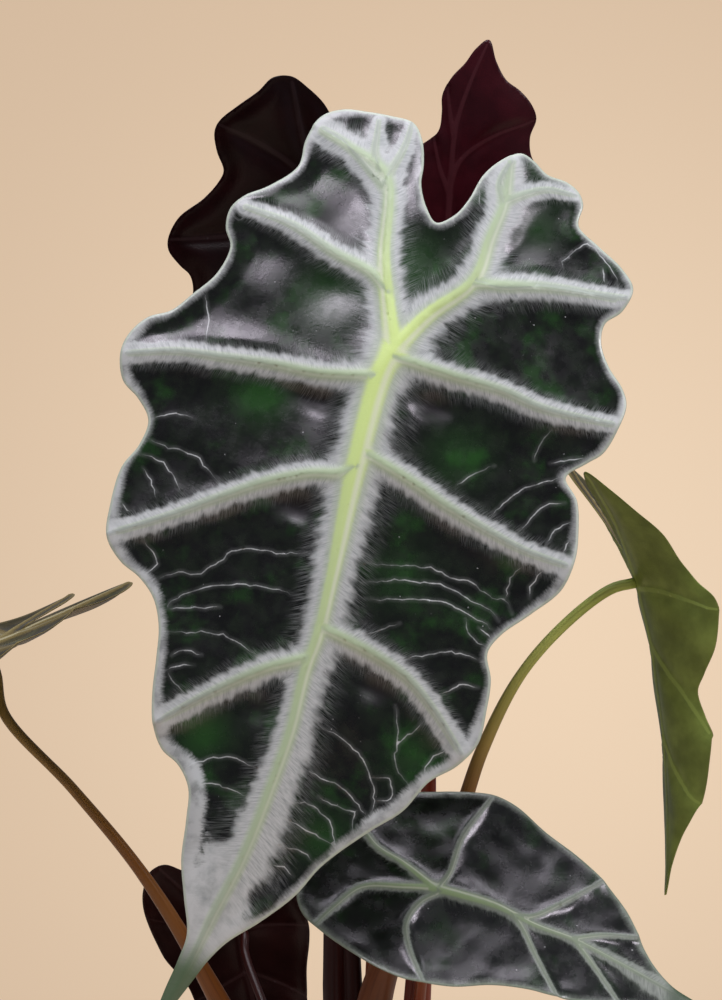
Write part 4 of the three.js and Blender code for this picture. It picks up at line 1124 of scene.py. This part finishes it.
def upper_face_material(name, colours):
    """The upper face: glossy dark panels, feathered pale bands, green cores and fine veins."""
    s = Shading(f"upper_face_{name}")
    colours = [tuple(each) for each in colours]
    panel_dark, panel_light, panel_green, silver_dark, silver_light, side_core, main_core = colours
    pressed = s.vector_field("pressed")
    halo, core, fine, rim = (s.field(label) for label in ("halo", "core", "fine", "rim"))
    along, beside, around = (s.field(label) for label in ("along", "beside", "around"))
    green, frost, sap, lit = (s.field(label) for label in ("green", "frost", "sap", "lit"))
    pit, tip = s.field("pit"), s.field("tip")

    # Streaks, hairs and tufts slant away from the veins, and a fringe runs in from the margin
    slanted = s.minus(along, s.times(s.math("ABSOLUTE", beside), SLANT))
    streak = s.strands(slanted, beside, *STREAK)
    hairs = s.strands(slanted, beside, *HAIRS)
    tuft = s.strands(slanted, beside, *TUFT)
    fringe = s.strands(around, rim, *FRINGE)
    blotch = s.noise(pressed, BLOTCH_SCALE, 4)
    cloud = s.noise(pressed, CLOUD_SCALE, 5)
    grain = s.noise(pressed, GRAIN_SCALE, 4)

    # Dark panels with green patches and pale flecks, with painted shade that turns them nearly black in the
    # hollows
    panel = s.mix(s.step(cloud, 0.35, 0.7), panel_dark, panel_light)
    greener = s.plus(green, s.step(blotch, 0.5, 0.72, 0, 0.7), True)
    panel = s.mix(greener, panel, panel_green)
    flecks = s.step(s.cells(pressed, FLECK_SCALE, "F1"), 0.04, 0.08, 1, 0)
    panel = s.mix(s.times(flecks, s.step(grain, 0.5, 0.62)), panel, colour(FLECK))
    panel = s.mix(s.step(pit, 0.15, 0.8), panel, PAINTED_HOLLOW_SHADE)

    # Pale bands along the veins, feathered at their sides, with a thinner veil of hairs beyond
    spread = s.minus(halo, s.times(frost, 0.35))
    frosted = s.plus(frost, 0.0, True)
    wide = s.plus(s.times(frosted, 1.8), 0.5)
    for wander, reach in ((streak, 0.55), (tuft, 0.7), (cloud, wide)):
        spread = s.plus(spread, s.sway(wander, reach))
    band = s.step(spread, 0.62, 1.2, 1, 0)
    veil = s.times(s.step(spread, 0.9, 1.9, 0.34, 0), s.step(hairs, 0.38, 0.72))
    shimmer = s.plus(streak, s.times(frosted, s.minus(cloud, streak)))
    silver = s.mix(s.step(shimmer, 0.25, 0.65), silver_dark, silver_light)
    silver = s.mix(s.step(core, 1.0, 1.9, 0.5, 0), silver, side_core)
    tint = s.mix(s.math("MAXIMUM", band, veil), panel, silver)

    # A pale bloom fringes the margin, and the very edge is palest
    swing = s.plus(s.times(frosted, 3), 2.2)
    rim_reach = s.plus(rim, s.sway(fringe, swing))
    rim_reach = s.plus(rim_reach, s.sway(blotch, 5))
    rim_reach = s.minus(rim_reach, s.times(frost, 3.4))
    rim_band = s.times(s.step(rim_reach, -0.3, 3.0, 0.85, 0), s.step(cloud, 0.35, 0.6, 0.6, 1))
    tint = s.mix(rim_band, tint, silver_light)
    tint = s.mix(s.step(rim, 0.3, 1.0, 0.85, 0), tint, s.mix(0.5, silver_light, side_core))

    # Fine veins, stronger in patches, with a faint glow beside them
    line = s.plus(fine, s.sway(grain, 0.2))
    fine_line = s.step(line, 0.0, 0.36, 0.95, 0)
    patchy = s.step(s.noise(pressed, 0.13, 3), 0.35, 0.62, 0.3, 1)
    glow = s.step(fine, 0.2, 1.6, 0.08, 0)
    tint = s.mix(s.times(s.math("MAXIMUM", fine_line, glow), patchy), tint, silver_light)

    # Cores of the wide veins, greener with more sap, with a painted highlight as a glint on their lit side
    core_edge = s.plus(core, s.sway(streak, 0.3))
    core_line = s.times(s.step(core_edge, 0.6, 1.2, 1, 0), s.step(sap, 0.0, 0.35, 0.55, 1))
    core_tint = s.mix(s.step(sap, 0.0, 0.5), silver_dark, side_core)
    core_tint = s.mix(s.step(sap, 0.45, 1.0), core_tint, main_core)
    away = s.math("ABSOLUTE", s.minus(lit, 0.5))
    painted_glint = s.times(s.step(away, 0.0, 0.5, 0.6, 0), s.step(sap, 0.3, 0.8, 0.4, 1))
    core_tint = s.mix(painted_glint, core_tint, s.mix(0.4, silver_light, PAINTED_GLINT))
    tint = s.mix(core_line, tint, core_tint)

    # The drip tip is plain green
    tint = s.mix(s.times(tip, 0.93), tint, s.mix(0.12, panel_green, side_core))

    # Gloss in the panels, satin on the pale parts and in the hollows, and a fine grain
    pale = s.math("MAXIMUM", band, rim_band)
    sheen = s.step(s.noise(pressed, 0.1, 4, 0.65), 0.35, 0.65, 0.18, 0.32)
    rough = s.math("MAXIMUM", sheen, s.times(pale, 0.48))
    rough = s.plus(rough, s.times(pit, 0.5), True)
    pores = s.cells(pressed, 1.6)
    bump = s.bump(s.plus(grain, s.times(pores, 0.5)), 0.00008, 0.5)
    bump = s.bump(s.times(hairs, s.step(halo, 0.7, 1.15, 1, 0)), 0.00012, 0.25, bump)
    return s.finish(Base_Color=tint, Roughness=rough, Normal=bump, Specular_IOR_Level=SHINE[name],
                    Specular_Tint=SHINE_TINT)


def underside_material(name, base):
    """The underside: dark satin with paler raised veins."""
    s = Shading(f"underside_{name}")
    pressed = s.vector_field("pressed")
    core, fine = s.field("core"), s.field("fine")
    blotch = s.noise(pressed, 0.07, 4)
    grain = s.noise(pressed, 1.1, 3)
    low = colour(base)
    high = tuple(min(1, channel * UNDERSIDE_BLOTCH) for channel in low[:3]) + (1,)
    pale = tuple(min(1, channel * UNDERSIDE_VEIN + UNDERSIDE_VEIN_LIFT) for channel in low[:3]) + (1,)
    tint = s.mix(s.step(blotch, 0.3, 0.75), low, high)
    tint = s.mix(s.step(core, 0.6, 1.4, 0.8, 0), tint, pale)
    tint = s.mix(s.step(fine, 0.3, 0.8, 0.3, 0), tint, pale)
    bump = s.bump(s.plus(grain, s.cells(pressed, 0.9)), 0.00008, 0.5)
    return s.finish(Base_Color=tint, Roughness=0.3, Normal=bump, Specular_IOR_Level=0.16)


def petiole_material(name, colours):
    """A petiole: colour from foot to blade, fine streaks along it and small mottles."""
    s = Shading(f"petiole_{name}")
    climb, turn = s.field("climb"), s.field("turn")
    foot, middle, head = (colour(text) for text in colours)
    tint = s.mix(s.step(climb, 0.05, 0.55), foot, middle)
    tint = s.mix(s.step(climb, 0.55, 1), tint, head)
    streaks = s.strands(turn, climb, PETIOLE_STREAKS, 2)
    mottle = s.noise(s.place(), 90, 3)
    dark = s.mix(1.0, tint, STREAK_SHADE, "MULTIPLY")
    tint = s.mix(s.step(streaks, 0.45, 0.75, 0, 0.65), tint, dark)
    light = s.mix(1.0, tint, MOTTLE_LIGHT, "MULTIPLY")
    tint = s.mix(s.step(mottle, 0.5, 0.8, 0, 0.3), tint, light)
    bump = s.bump(streaks, 0.0001, 0.4)
    return s.finish(Base_Color=tint, Roughness=0.36, Normal=bump, Specular_IOR_Level=0.3)


def terracotta_material(look):
    """Fired clay: warm body, darker pores and patches of pale mineral bloom."""
    s = Shading("terracotta_clay")
    place = s.place()
    cloud = s.noise(place, 18, 5)
    grit = s.noise(place, 900, 3)
    tint = s.mix(s.step(cloud, 0.3, 0.7), tuple(look.clay_dark_colour), tuple(look.clay_colour))
    tint = s.mix(s.step(grit, 0.6, 0.75, 0, 0.5), tint, colour(CLAY_PORE))
    bloom = s.step(s.noise(place, 42, 6, 0.7), 0.56, 0.74, 0, 0.55)
    tint = s.mix(bloom, tint, colour(CLAY_BLOOM))
    bump = s.bump(s.plus(grit, s.times(s.noise(place, 240, 3), 1.5)), 0.0004, 0.6)
    return s.finish(Base_Color=tint, Roughness=0.86, Normal=bump)


def soil_material():
    """Dark peaty compost."""
    s = Shading("peat_soil")
    place = s.place()
    tint = s.mix(s.step(s.noise(place, 160, 5), 0.35, 0.7), *map(colour, PEAT))
    bump = s.bump(s.noise(place, 700, 4), 0.0012, 0.8)
    return s.finish(Base_Color=tint, Roughness=0.95, Normal=bump)


def perlite_material():
    """Chalky white perlite."""
    s = Shading("perlite_white")
    place = s.place()
    tint = s.mix(s.noise(place, 500, 3), *map(colour, PERLITE))
    return s.finish(Base_Color=tint, Roughness=0.9, Normal=s.bump(s.noise(place, 1500, 2), 0.0004, 0.6))


def bark_material():
    """The rhizome's brown ringed bark."""
    s = Shading("rhizome_bark")
    place = s.place()
    rings = s.noise(s.scaled(place, (60, 60, 700)), 1.0, 4)
    tint = s.mix(s.step(rings, 0.35, 0.7), *map(colour, BARK))
    return s.finish(Base_Color=tint, Roughness=0.8, Normal=s.bump(rings, 0.0008, 0.7))


# Petioles
def petiole_path(name):
    """A petiole's middle line, the share of the way up at each of its points, and its blade's face."""
    joint, _, _, face = leaf_axes(LEAVES[name])
    petiole = PETIOLES[name]
    turn = math.radians(petiole["angle"])
    base = np.array((PETIOLE_RING_RADIUS * math.cos(turn), PETIOLE_RING_RADIUS * math.sin(turn),
                     PETIOLE_STRAIGHT_TOP))
    end = joint - face * PETIOLE_GAP
    curve = spline([base, *petiole["route"], end - face * PETIOLE_APPROACH, end], 1)
    run = np.concatenate(([0], np.cumsum(np.linalg.norm(np.diff(curve, axis=0), axis=1))))
    return curve, run / run[-1], face


def petiole_sections(name):
    """A petiole's rings from the foot up: share of the way, centre, heading, half widths and sheath."""
    curve, shares, face = petiole_path(name)
    widths = np.array(PETIOLES[name]["widths"], float)
    upright = np.array((0, 0, 1.0))
    for height in np.linspace(PETIOLE_FOOT, PETIOLE_STRAIGHT_TOP, FOOT_RINGS + 1)[:-1]:
        centre = np.array((curve[0][0], curve[0][1], height))
        sheath = SHEATH_AT_FOOT * smoothstep(height, SHEATH_START, PETIOLE_STRAIGHT_TOP)
        yield 0, centre, upright, widths[0], sheath
    for share in np.linspace(0, 1, PETIOLE_RINGS):
        centre, ahead, behind = (
            np.array([np.interp(at, shares, curve[:, axis]) for axis in range(3)])
            for at in (share, min(share + HEADING_SPAN, 1), max(share - HEADING_SPAN, 0)))
        bend = smoothstep(share, 0, TURNED_BY)
        heading = unit(unit(ahead - behind) * bend + upright * (1 - bend))
        if share == 1:
            heading = face
        slim = 1 - SLIMMING * smoothstep(share, *SLIMMING_BETWEEN)
        half = [slim * np.interp(share, np.linspace(0, 1, len(widths)), widths[:, k]) for k in (0, 1)]
        sheath = SHEATH_AT_FOOT + (1 - SHEATH_AT_FOOT) * smoothstep(share, 0, SHEATH_FULL)
        yield share, centre, heading, half, sheath * (1 - smoothstep(share, *SHEATH_CLOSES))


def make_petiole(name):
    """A petiole's object: a tube that opens into a winged sheath at its foot."""
    turn = math.radians(PETIOLES[name]["angle"])
    sideways = np.array((-math.sin(turn), math.cos(turn), 0))
    sides = PETIOLE_SIDES
    around = np.arange(sides) * 2 * math.pi / sides
    from_inside = (around - math.pi / 2 + math.pi) % (2 * math.pi) - math.pi
    groove = np.exp(-(from_inside / math.radians(GROOVE_WIDTH)) ** 2)
    wing = np.exp(-((np.abs(from_inside) - math.radians(WING_AT)) / math.radians(WING_WIDTH)) ** 2)
    vertices, climb = [], []
    for share, centre, heading, half, sheath in petiole_sections(name):
        wide = unit(sideways - heading * (sideways @ heading))
        deep = np.cross(heading, wide)
        reach = 1 - GROOVE_DEPTH * sheath * groove + WING_SPREAD * sheath * wing
        for angle, out in zip(around, reach):
            vertices.append(centre + wide * half[0] * out * math.cos(angle)
                            + deep * half[1] * out * math.sin(angle))
            climb.append(share)
    count = len(climb) // sides
    polygons = [(k * sides + j, k * sides + (j + 1) % sides, (k + 1) * sides + (j + 1) % sides,
                 (k + 1) * sides + j) for k in range(count - 1) for j in range(sides)]
    polygons.append(tuple(range(sides))[::-1])
    polygons.append(tuple((count - 1) * sides + j for j in range(sides)))
    mesh = bpy.data.meshes.new(f"stem_{name}")
    mesh.from_pydata((np.array(vertices) * MM).tolist(), [], polygons)
    mesh.update()
    add_field(mesh, "climb", climb)
    add_field(mesh, "turn", np.abs(np.tile(from_inside, count)) / math.pi)
    mesh.shade_smooth()
    return linked(f"stem_{name}", mesh)


# Pot, soil and rhizome
def nothing_selected():
    """Object mode with nothing selected."""
    if bpy.context.object and bpy.context.object.mode != "OBJECT":
        bpy.ops.object.mode_set(mode="OBJECT")
    bpy.ops.object.select_all(action="DESELECT")


def named_piece(name, material):
    """Names the active object and its mesh and gives it a material."""
    piece = bpy.context.object
    piece.name = name
    piece.data.name = name
    piece.data.materials.clear()
    piece.data.materials.append(material)
    return piece


def into_mesh(piece):
    """Puts the object's place into its mesh."""
    nothing_selected()
    piece.select_set(True)
    bpy.context.view_layer.objects.active = piece
    bpy.ops.object.transform_apply(location=True, rotation=True, scale=True)


def extruded_ring(rings):
    """Extrudes the selected ring of edges up through (radius, height) pairs, in mm."""
    radius, height = rings[0]
    for next_radius, next_height in rings[1:]:
        lift = (0, 0, (next_height - height) * MM)
        bpy.ops.mesh.extrude_region_move(TRANSFORM_OT_translate={"value": lift})
        grow = next_radius / radius
        bpy.ops.transform.resize(value=(grow, grow, 1), center_override=(0, 0, 0))
        radius, height = next_radius, next_height


def turned_solid(name, rings, sides, material):
    """A closed turned solid: a disc extruded through rings and closed at its top."""
    nothing_selected()
    radius, height = rings[0]
    bpy.ops.mesh.primitive_circle_add(vertices=sides, radius=radius * MM, fill_type="NGON",
                                      location=(0, 0, height * MM))
    piece = named_piece(name, material)
    into_mesh(piece)
    bpy.ops.object.mode_set(mode="EDIT")
    bpy.ops.mesh.select_all(action="SELECT")
    extruded_ring(rings)
    bpy.ops.mesh.select_all(action="SELECT")
    bpy.ops.mesh.normals_make_consistent(inside=False)
    bpy.ops.object.mode_set(mode="OBJECT")
    return piece


def inner_radius(height):
    """Inner radius of the pot at a height."""
    collar_foot = POT_HEIGHT - POT_COLLAR_HEIGHT
    waist = POT_BODY_TOP_RADIUS - POT_WALL
    if height > collar_foot:
        rim = POT_COLLAR_RADIUS - POT_COLLAR_WALL
        return waist + (rim - waist) * (height - collar_foot) / (POT_COLLAR_HEIGHT - POT_LIP)
    foot = POT_FOOT_RADIUS - POT_WALL
    return foot + (waist - foot) * (height - POT_FLOOR) / (collar_foot - POT_FLOOR)


def pot_outline():
    """The pot's outline up the outside, over the lip and down inside: radius and height, in mm."""
    collar_foot = POT_HEIGHT - POT_COLLAR_HEIGHT
    return (
        (POT_FOOT_RADIUS - 1.5, 0), (POT_FOOT_RADIUS, 1.5),
        (POT_BODY_TOP_RADIUS, collar_foot), (POT_COLLAR_RADIUS - 3.2, collar_foot + 0.4),
        (POT_COLLAR_RADIUS - 2.2, collar_foot + 1.6), (POT_COLLAR_RADIUS, POT_HEIGHT - 2.5),
        (POT_COLLAR_RADIUS - 0.8, POT_HEIGHT - 0.6), (POT_COLLAR_RADIUS - 2.5, POT_HEIGHT),
        (POT_COLLAR_RADIUS - POT_COLLAR_WALL + 2, POT_HEIGHT),
        (POT_COLLAR_RADIUS - POT_COLLAR_WALL + 0.4, POT_HEIGHT - 1.2),
        (inner_radius(collar_foot), collar_foot), (inner_radius(POT_FLOOR) + 1, POT_FLOOR + 3),
        (inner_radius(POT_FLOOR) - 2, POT_FLOOR),
    )


def soil_height(x, y):
    """Height of the soil's top, as the solid has it, in mm."""
    mound = SOIL_CROWN_RISE * math.exp(-(math.hypot(x, y) / SOIL_CROWN_RADIUS) ** 2)
    lumps = math.sin(x * 0.23 + 1.1) * math.cos(y * 0.19) + 0.6 * math.sin(x * 0.11 - y * 0.31)
    return SOIL_LEVEL + mound + SOIL_LUMP * lumps


def joined(pieces):
    """Joins pieces into the first of them."""
    nothing_selected()
    for piece in pieces:
        piece.select_set(True)
    bpy.context.view_layer.objects.active = pieces[0]
    bpy.ops.object.join()
    return pieces[0]


def scattered(name, kind, radius, material):
    """Small crumbs that lie half sunk on the soil, in one mesh."""
    count, sizes, seed, margin = kind
    reach = radius - margin
    nothing_selected()
    bpy.ops.mesh.primitive_ico_sphere_add(subdivisions=1, radius=1, location=(0, 0, 0))
    start = bpy.context.object
    shape = np.array([tuple(v.co) for v in start.data.vertices])
    triangles = [tuple(p.vertices) for p in start.data.polygons]
    bpy.data.objects.remove(start)
    source = np.random.default_rng(seed)
    vertices, polygons = [], []
    for k in range(count):
        distance = reach * math.sqrt(source.uniform(0, 1))
        angle = source.uniform(0, 2 * math.pi)
        x, y = distance * math.cos(angle), distance * math.sin(angle)
        size = source.uniform(*sizes)
        lumps = shape * source.uniform(*CRUMB_LUMPS, (len(shape), 1)) * source.uniform(*CRUMB_STRETCH, 3)
        place = (x, y, soil_height(x, y) + CRUMB_LIFT * size)
        vertices.append(lumps * size + place)
        polygons += [tuple(i + k * len(shape) for i in t) for t in triangles]
    mesh = bpy.data.meshes.new(name)
    mesh.from_pydata((np.concatenate(vertices) * MM).tolist(), [], polygons)
    mesh.materials.append(material)
    return linked(name, mesh)


# What a user may change
def swatch(name, description, text):
    """A colour setting whose default is a hex text."""
    return bpy.props.FloatVectorProperty(
        name=name, description=description, default=colour(text), size=4, min=0, max=1, subtype="COLOR")


class AlocasiaLook(bpy.types.PropertyGroup):
    """Colours and sizes of the plant."""

    blade_mesh: bpy.props.FloatProperty(
        name="Blade mesh", description="Distance between the mesh points of a blade", default=1.1 * MM,
        min=0.8 * MM, max=5 * MM, unit="LENGTH")
    panel_colour: swatch("Panel", "Colour of the dark panels between the veins", "#141c12")
    panel_dark_colour: swatch("Dark panel", "Darkest colour of the panels", "#080b08")
    green_colour: swatch("Green", "Green patches in the panels", "#1d4117")
    silver_colour: swatch("Silver", "Pale bands along the veins", "#bcbfbe")
    silver_dark_colour: swatch("Dark silver", "Darker streaks in the pale bands", "#8f9594")
    side_core_colour: swatch("Side core", "Middle of the side ribs", "#a9ba98")
    core_colour: swatch("Core", "Green middle of the veins near the petiole", "#cbe08a")


class PotLook(bpy.types.PropertyGroup):
    """Colours of the pot."""

    clay_colour: swatch("Clay", "Main colour of the pot", "#b8633c")
    clay_dark_colour: swatch("Dark clay", "Darker clouds in the pot", "#96482a")


class StageLook(bpy.types.PropertyGroup):
    """Light and floor of the stage."""

    key_power: bpy.props.FloatProperty(
        name="Key light", description="Power of the large light at the upper left", default=16, min=0,
        unit="POWER")
    fill_power: bpy.props.FloatProperty(
        name="Fill light", description="Power of the light at the right", default=9, min=0, unit="POWER")
    top_power: bpy.props.FloatProperty(
        name="Top light", description="Power of the light overhead", default=12, min=0, unit="POWER")
    floor_radius: bpy.props.FloatProperty(
        name="Floor radius", description="Radius of the pale floor", default=0.95, min=0.3,
        unit="LENGTH")


# Operators
class ALOCASIA_OT_stage(bpy.types.Operator):
    """Sets the camera, the lights, the background and the floor"""

    bl_idname = "alocasia.set_stage"
    bl_label = "Set the stage"

    def execute(self, context):
        scene = context.scene
        look = scene.alocasia_stage
        camera = bpy.data.objects.new("camera", bpy.data.cameras.new("camera"))
        scene.collection.objects.link(camera)
        camera.location = [value * MM for value in CAMERA_PLACE]
        camera.rotation_euler = (math.radians(90), 0, 0)
        camera.data.lens = CAMERA_LENS
        camera.data.sensor_width = SENSOR
        scene.camera = camera
        scene.view_settings.view_transform = "Standard"
        for name, (place, size, tint) in LIGHTS.items():
            data = bpy.data.lights.new(f"{name}_light", "AREA")
            data.shape = "SQUARE"
            data.size = size
            data.energy = getattr(look, f"{name}_power")
            data.color = tint
            light = bpy.data.objects.new(f"{name}_light", data)
            light.location = place
            light.rotation_euler = (Vector(place) - Vector(LIGHTS_AIM)).to_track_quat("Z", "Y").to_euler()
            scene.collection.objects.link(light)
        self.set_background(scene)
        nothing_selected()
        bpy.ops.mesh.primitive_circle_add(vertices=96, radius=look.floor_radius, fill_type="NGON",
                                          location=(0, 0, FLOOR_HEIGHT))
        floor = named_piece("floor", self.floor_material())
        into_mesh(floor)
        return {"FINISHED"}

    def set_background(self, scene):
        """A warm plain background that is brightest low on the right, and a cooler light round it."""
        world = bpy.data.worlds.new("warm_wall")
        world.use_nodes = True
        scene.world = world
        nodes, links = world.node_tree.nodes, world.node_tree.links
        direction = nodes.new("ShaderNodeTexCoord").outputs["Generated"]
        away = nodes.new("ShaderNodeVectorMath")
        away.operation = "DISTANCE"
        links.new(direction, away.inputs[0])
        away.inputs[1].default_value = Vector(WALL_GLOW_TOWARDS).normalized()
        ramp = nodes.new("ShaderNodeMapRange")
        ramp.interpolation_type = "SMOOTHSTEP"
        ramp.inputs["From Max"].default_value = WALL_GLOW_REACH
        links.new(away.outputs["Value"], ramp.inputs["Value"])
        tint = nodes.new("ShaderNodeMix")
        tint.data_type = "RGBA"
        tint.inputs[6].default_value = colour(WALL_BRIGHT)
        tint.inputs[7].default_value = colour(WALL_DIM)
        links.new(ramp.outputs[0], tint.inputs[0])
        seen = nodes["Background"]
        links.new(tint.outputs[2], seen.inputs["Color"])
        lit = nodes.new("ShaderNodeBackground")
        lit.inputs["Color"].default_value = ROOM_TINT
        lit.inputs["Strength"].default_value = ROOM_STRENGTH
        path = nodes.new("ShaderNodeLightPath")
        both = nodes.new("ShaderNodeMixShader")
        links.new(path.outputs["Is Camera Ray"], both.inputs[0])
        links.new(lit.outputs[0], both.inputs[1])
        links.new(seen.outputs[0], both.inputs[2])
        links.new(both.outputs[0], nodes["World Output"].inputs["Surface"])

    def floor_material(self):
        """A pale matt floor."""
        s = Shading("pale_floor")
        shade = s.noise(s.place(), 3, 2)
        return s.finish(Base_Color=s.mix(shade, *map(colour, FLOOR)), Roughness=0.9)


class ALOCASIA_OT_blades(bpy.types.Operator):
    """Makes the seven leaf blades with their veins"""

    bl_idname = "alocasia.make_blades"
    bl_label = "Make the blades"

    def execute(self, context):
        look = context.scene.alocasia_look
        grown = upper_face_material("grown", (
            look.panel_dark_colour, look.panel_colour, look.green_colour, look.silver_dark_colour,
            look.silver_colour, look.side_core_colour, look.core_colour))
        young = upper_face_material("young", map(colour, YOUNG_FACE))
        olive = upper_face_material("olive", map(colour, OLIVE_FACE))
        uppers = {"lower_right": young, "right": olive, "left": olive}
        for name, leaf in LEAVES.items():
            piece = make_blade(name, leaf, look.blade_mesh / MM)
            piece.data.materials.append(uppers.get(name, grown))
            piece.data.materials.append(underside_material(name, UNDERSIDES[name]))
            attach(piece, "root")
            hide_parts(f"blade_{name}")
        return {"FINISHED"}


class ALOCASIA_OT_petioles(bpy.types.Operator):
    """Makes the petioles with their sheathed feet"""

    bl_idname = "alocasia.make_petioles"
    bl_label = "Make the petioles"

    def execute(self, context):
        for name in PETIOLES:
            piece = make_petiole(name)
            piece.data.materials.append(petiole_material(name, PETIOLE_COLOURS[name]))
            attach(piece, "root")
            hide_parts(f"petiole_{name}")
        return {"FINISHED"}


class ALOCASIA_OT_pot(bpy.types.Operator):
    """Makes the terracotta pot with its collar and drain holes"""

    bl_idname = "alocasia.make_pot"
    bl_label = "Make the pot"

    def execute(self, context):
        clay = terracotta_material(context.scene.alocasia_pot)
        piece = turned_solid("clay_pot", pot_outline(), POT_SIDES, clay)
        cutters = []
        for k in range(DRAIN_HOLES):
            angle = math.radians(90 + 360 / DRAIN_HOLES * k)
            nothing_selected()
            bpy.ops.mesh.primitive_cylinder_add(
                vertices=DRAIN_HOLE_SIDES, radius=DRAIN_HOLE_RADIUS * MM, depth=0.03,
                location=(DRAIN_CIRCLE * MM * math.cos(angle), DRAIN_CIRCLE * MM * math.sin(angle), 0.004))
            cutters.append(bpy.context.object)
        cutter = joined(cutters)
        cut = piece.modifiers.new("drain_holes", "BOOLEAN")
        cut.object = cutter
        cut.operation = "DIFFERENCE"
        nothing_selected()
        piece.select_set(True)
        context.view_layer.objects.active = piece
        bpy.ops.object.modifier_apply(modifier=cut.name)
        bpy.data.objects.remove(cutter)
        bpy.ops.object.shade_smooth_by_angle(angle=math.radians(POT_SMOOTH_ANGLE))
        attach(piece, "root")
        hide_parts("pot")
        return {"FINISHED"}


class ALOCASIA_OT_soil(bpy.types.Operator):
    """Makes the soil with its crumbs and perlite"""

    bl_idname = "alocasia.make_soil"
    bl_label = "Make the soil"

    def execute(self, context):
        radius = inner_radius(SOIL_LEVEL) - SOIL_GAP
        earth = soil_material()
        nothing_selected()
        bpy.ops.mesh.primitive_circle_add(vertices=96, radius=radius * MM, fill_type="NGON",
                                          location=(0, 0, (SOIL_LEVEL - SOIL_DEPTH) * MM))
        piece = named_piece("soil_bed", earth)
        into_mesh(piece)
        bpy.ops.object.mode_set(mode="EDIT")
        bpy.ops.mesh.select_all(action="SELECT")
        bpy.ops.mesh.extrude_region_move(TRANSFORM_OT_translate={"value": (0, 0, SOIL_DEPTH * MM)})
        for _ in range(SOIL_RINGS):
            bpy.ops.mesh.inset(thickness=radius * MM / (SOIL_RINGS + 1))
        bpy.ops.mesh.select_all(action="SELECT")
        bpy.ops.mesh.normals_make_consistent(inside=False)
        bpy.ops.object.mode_set(mode="OBJECT")
        for vertex in piece.data.vertices:
            x, y, z = vertex.co / MM
            if z > SOIL_LEVEL - 1:
                rough = sum(strength * noise.noise((x * rate, y * rate, layer))
                            for rate, layer, strength in SOIL_BUMPS)
                vertex.co.z = (soil_height(x, y) + SOIL_ROUGHNESS * rough) * MM
        piece.data.shade_smooth()
        crumbs = scattered("crumbs", CRUMBS, radius, earth)
        grains = scattered("grains", GRAINS, radius, perlite_material())
        piece = joined([piece, crumbs, grains])
        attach(piece, "root")
        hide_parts("soil")
        return {"FINISHED"}


class ALOCASIA_OT_rhizome(bpy.types.Operator):
    """Makes the ringed rhizome that the petioles grow round"""

    bl_idname = "alocasia.make_rhizome"
    bl_label = "Make the rhizome"

    def execute(self, context):
        rings = [(RHIZOME_RADIUS - 3, RHIZOME_FOOT)]
        bark_top = RHIZOME_TOP - RHIZOME_CAP
        for k in range(RHIZOME_RINGS):
            height = RHIZOME_FOOT + 2 + (bark_top - RHIZOME_FOOT - 2) * k / RHIZOME_RINGS
            rings.append((RHIZOME_RADIUS - 0.2, height))
            rings.append((RHIZOME_RADIUS - 1.2, height + 2))
        rings += [(RHIZOME_RADIUS - 1, bark_top), (RHIZOME_RADIUS - 4, RHIZOME_TOP - 4),
                  (1.5, RHIZOME_TOP - 0.4)]
        piece = turned_solid("rhizome_crown", rings, 48, bark_material())
        for vertex in piece.data.vertices:
            x, y, z = vertex.co / MM
            swell = 1 + RHIZOME_SWELL * noise.noise((x * 0.25, y * 0.25, z * 0.3))
            vertex.co.x *= swell
            vertex.co.y *= swell
        piece.data.shade_smooth()
        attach(piece, "root")
        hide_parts("rhizome")
        return {"FINISHED"}


class ALOCASIA_PT_panel(bpy.types.Panel):
    """Lists what builds the plant"""

    bl_idname = "ALOCASIA_PT_panel"
    bl_label = "Alocasia"
    bl_space_type = "VIEW_3D"
    bl_region_type = "UI"
    bl_category = "Alocasia"

    def draw(self, context):
        layout = self.layout
        for group in (context.scene.alocasia_look, context.scene.alocasia_pot, context.scene.alocasia_stage):
            for key in group.__annotations__:
                layout.prop(group, key)
        for operator in OPERATORS:
            layout.operator(operator.bl_idname)


OPERATORS = (ALOCASIA_OT_stage, ALOCASIA_OT_pot, ALOCASIA_OT_soil, ALOCASIA_OT_rhizome,
             ALOCASIA_OT_petioles, ALOCASIA_OT_blades)
GROUPS = {"alocasia_look": AlocasiaLook, "alocasia_pot": PotLook, "alocasia_stage": StageLook}


def register():
    """Registers the classes and their settings."""
    for kind in (*GROUPS.values(), *OPERATORS, ALOCASIA_PT_panel):
        bpy.utils.register_class(kind)
    for key, group in GROUPS.items():
        setattr(bpy.types.Scene, key, bpy.props.PointerProperty(type=group))


def unregister():
    """Takes the settings and the classes away again."""
    for key in GROUPS:
        delattr(bpy.types.Scene, key)
    for kind in (ALOCASIA_PT_panel, *reversed(OPERATORS), *reversed(GROUPS.values())):
        bpy.utils.unregister_class(kind)


def main():
    """Builds everything."""
    register()
    bpy.ops.alocasia.set_stage()
    bpy.ops.alocasia.make_pot()
    bpy.ops.alocasia.make_soil()
    bpy.ops.alocasia.make_rhizome()
    bpy.ops.alocasia.make_petioles()
    bpy.ops.alocasia.make_blades()


if __name__ == "__main__":
    main()
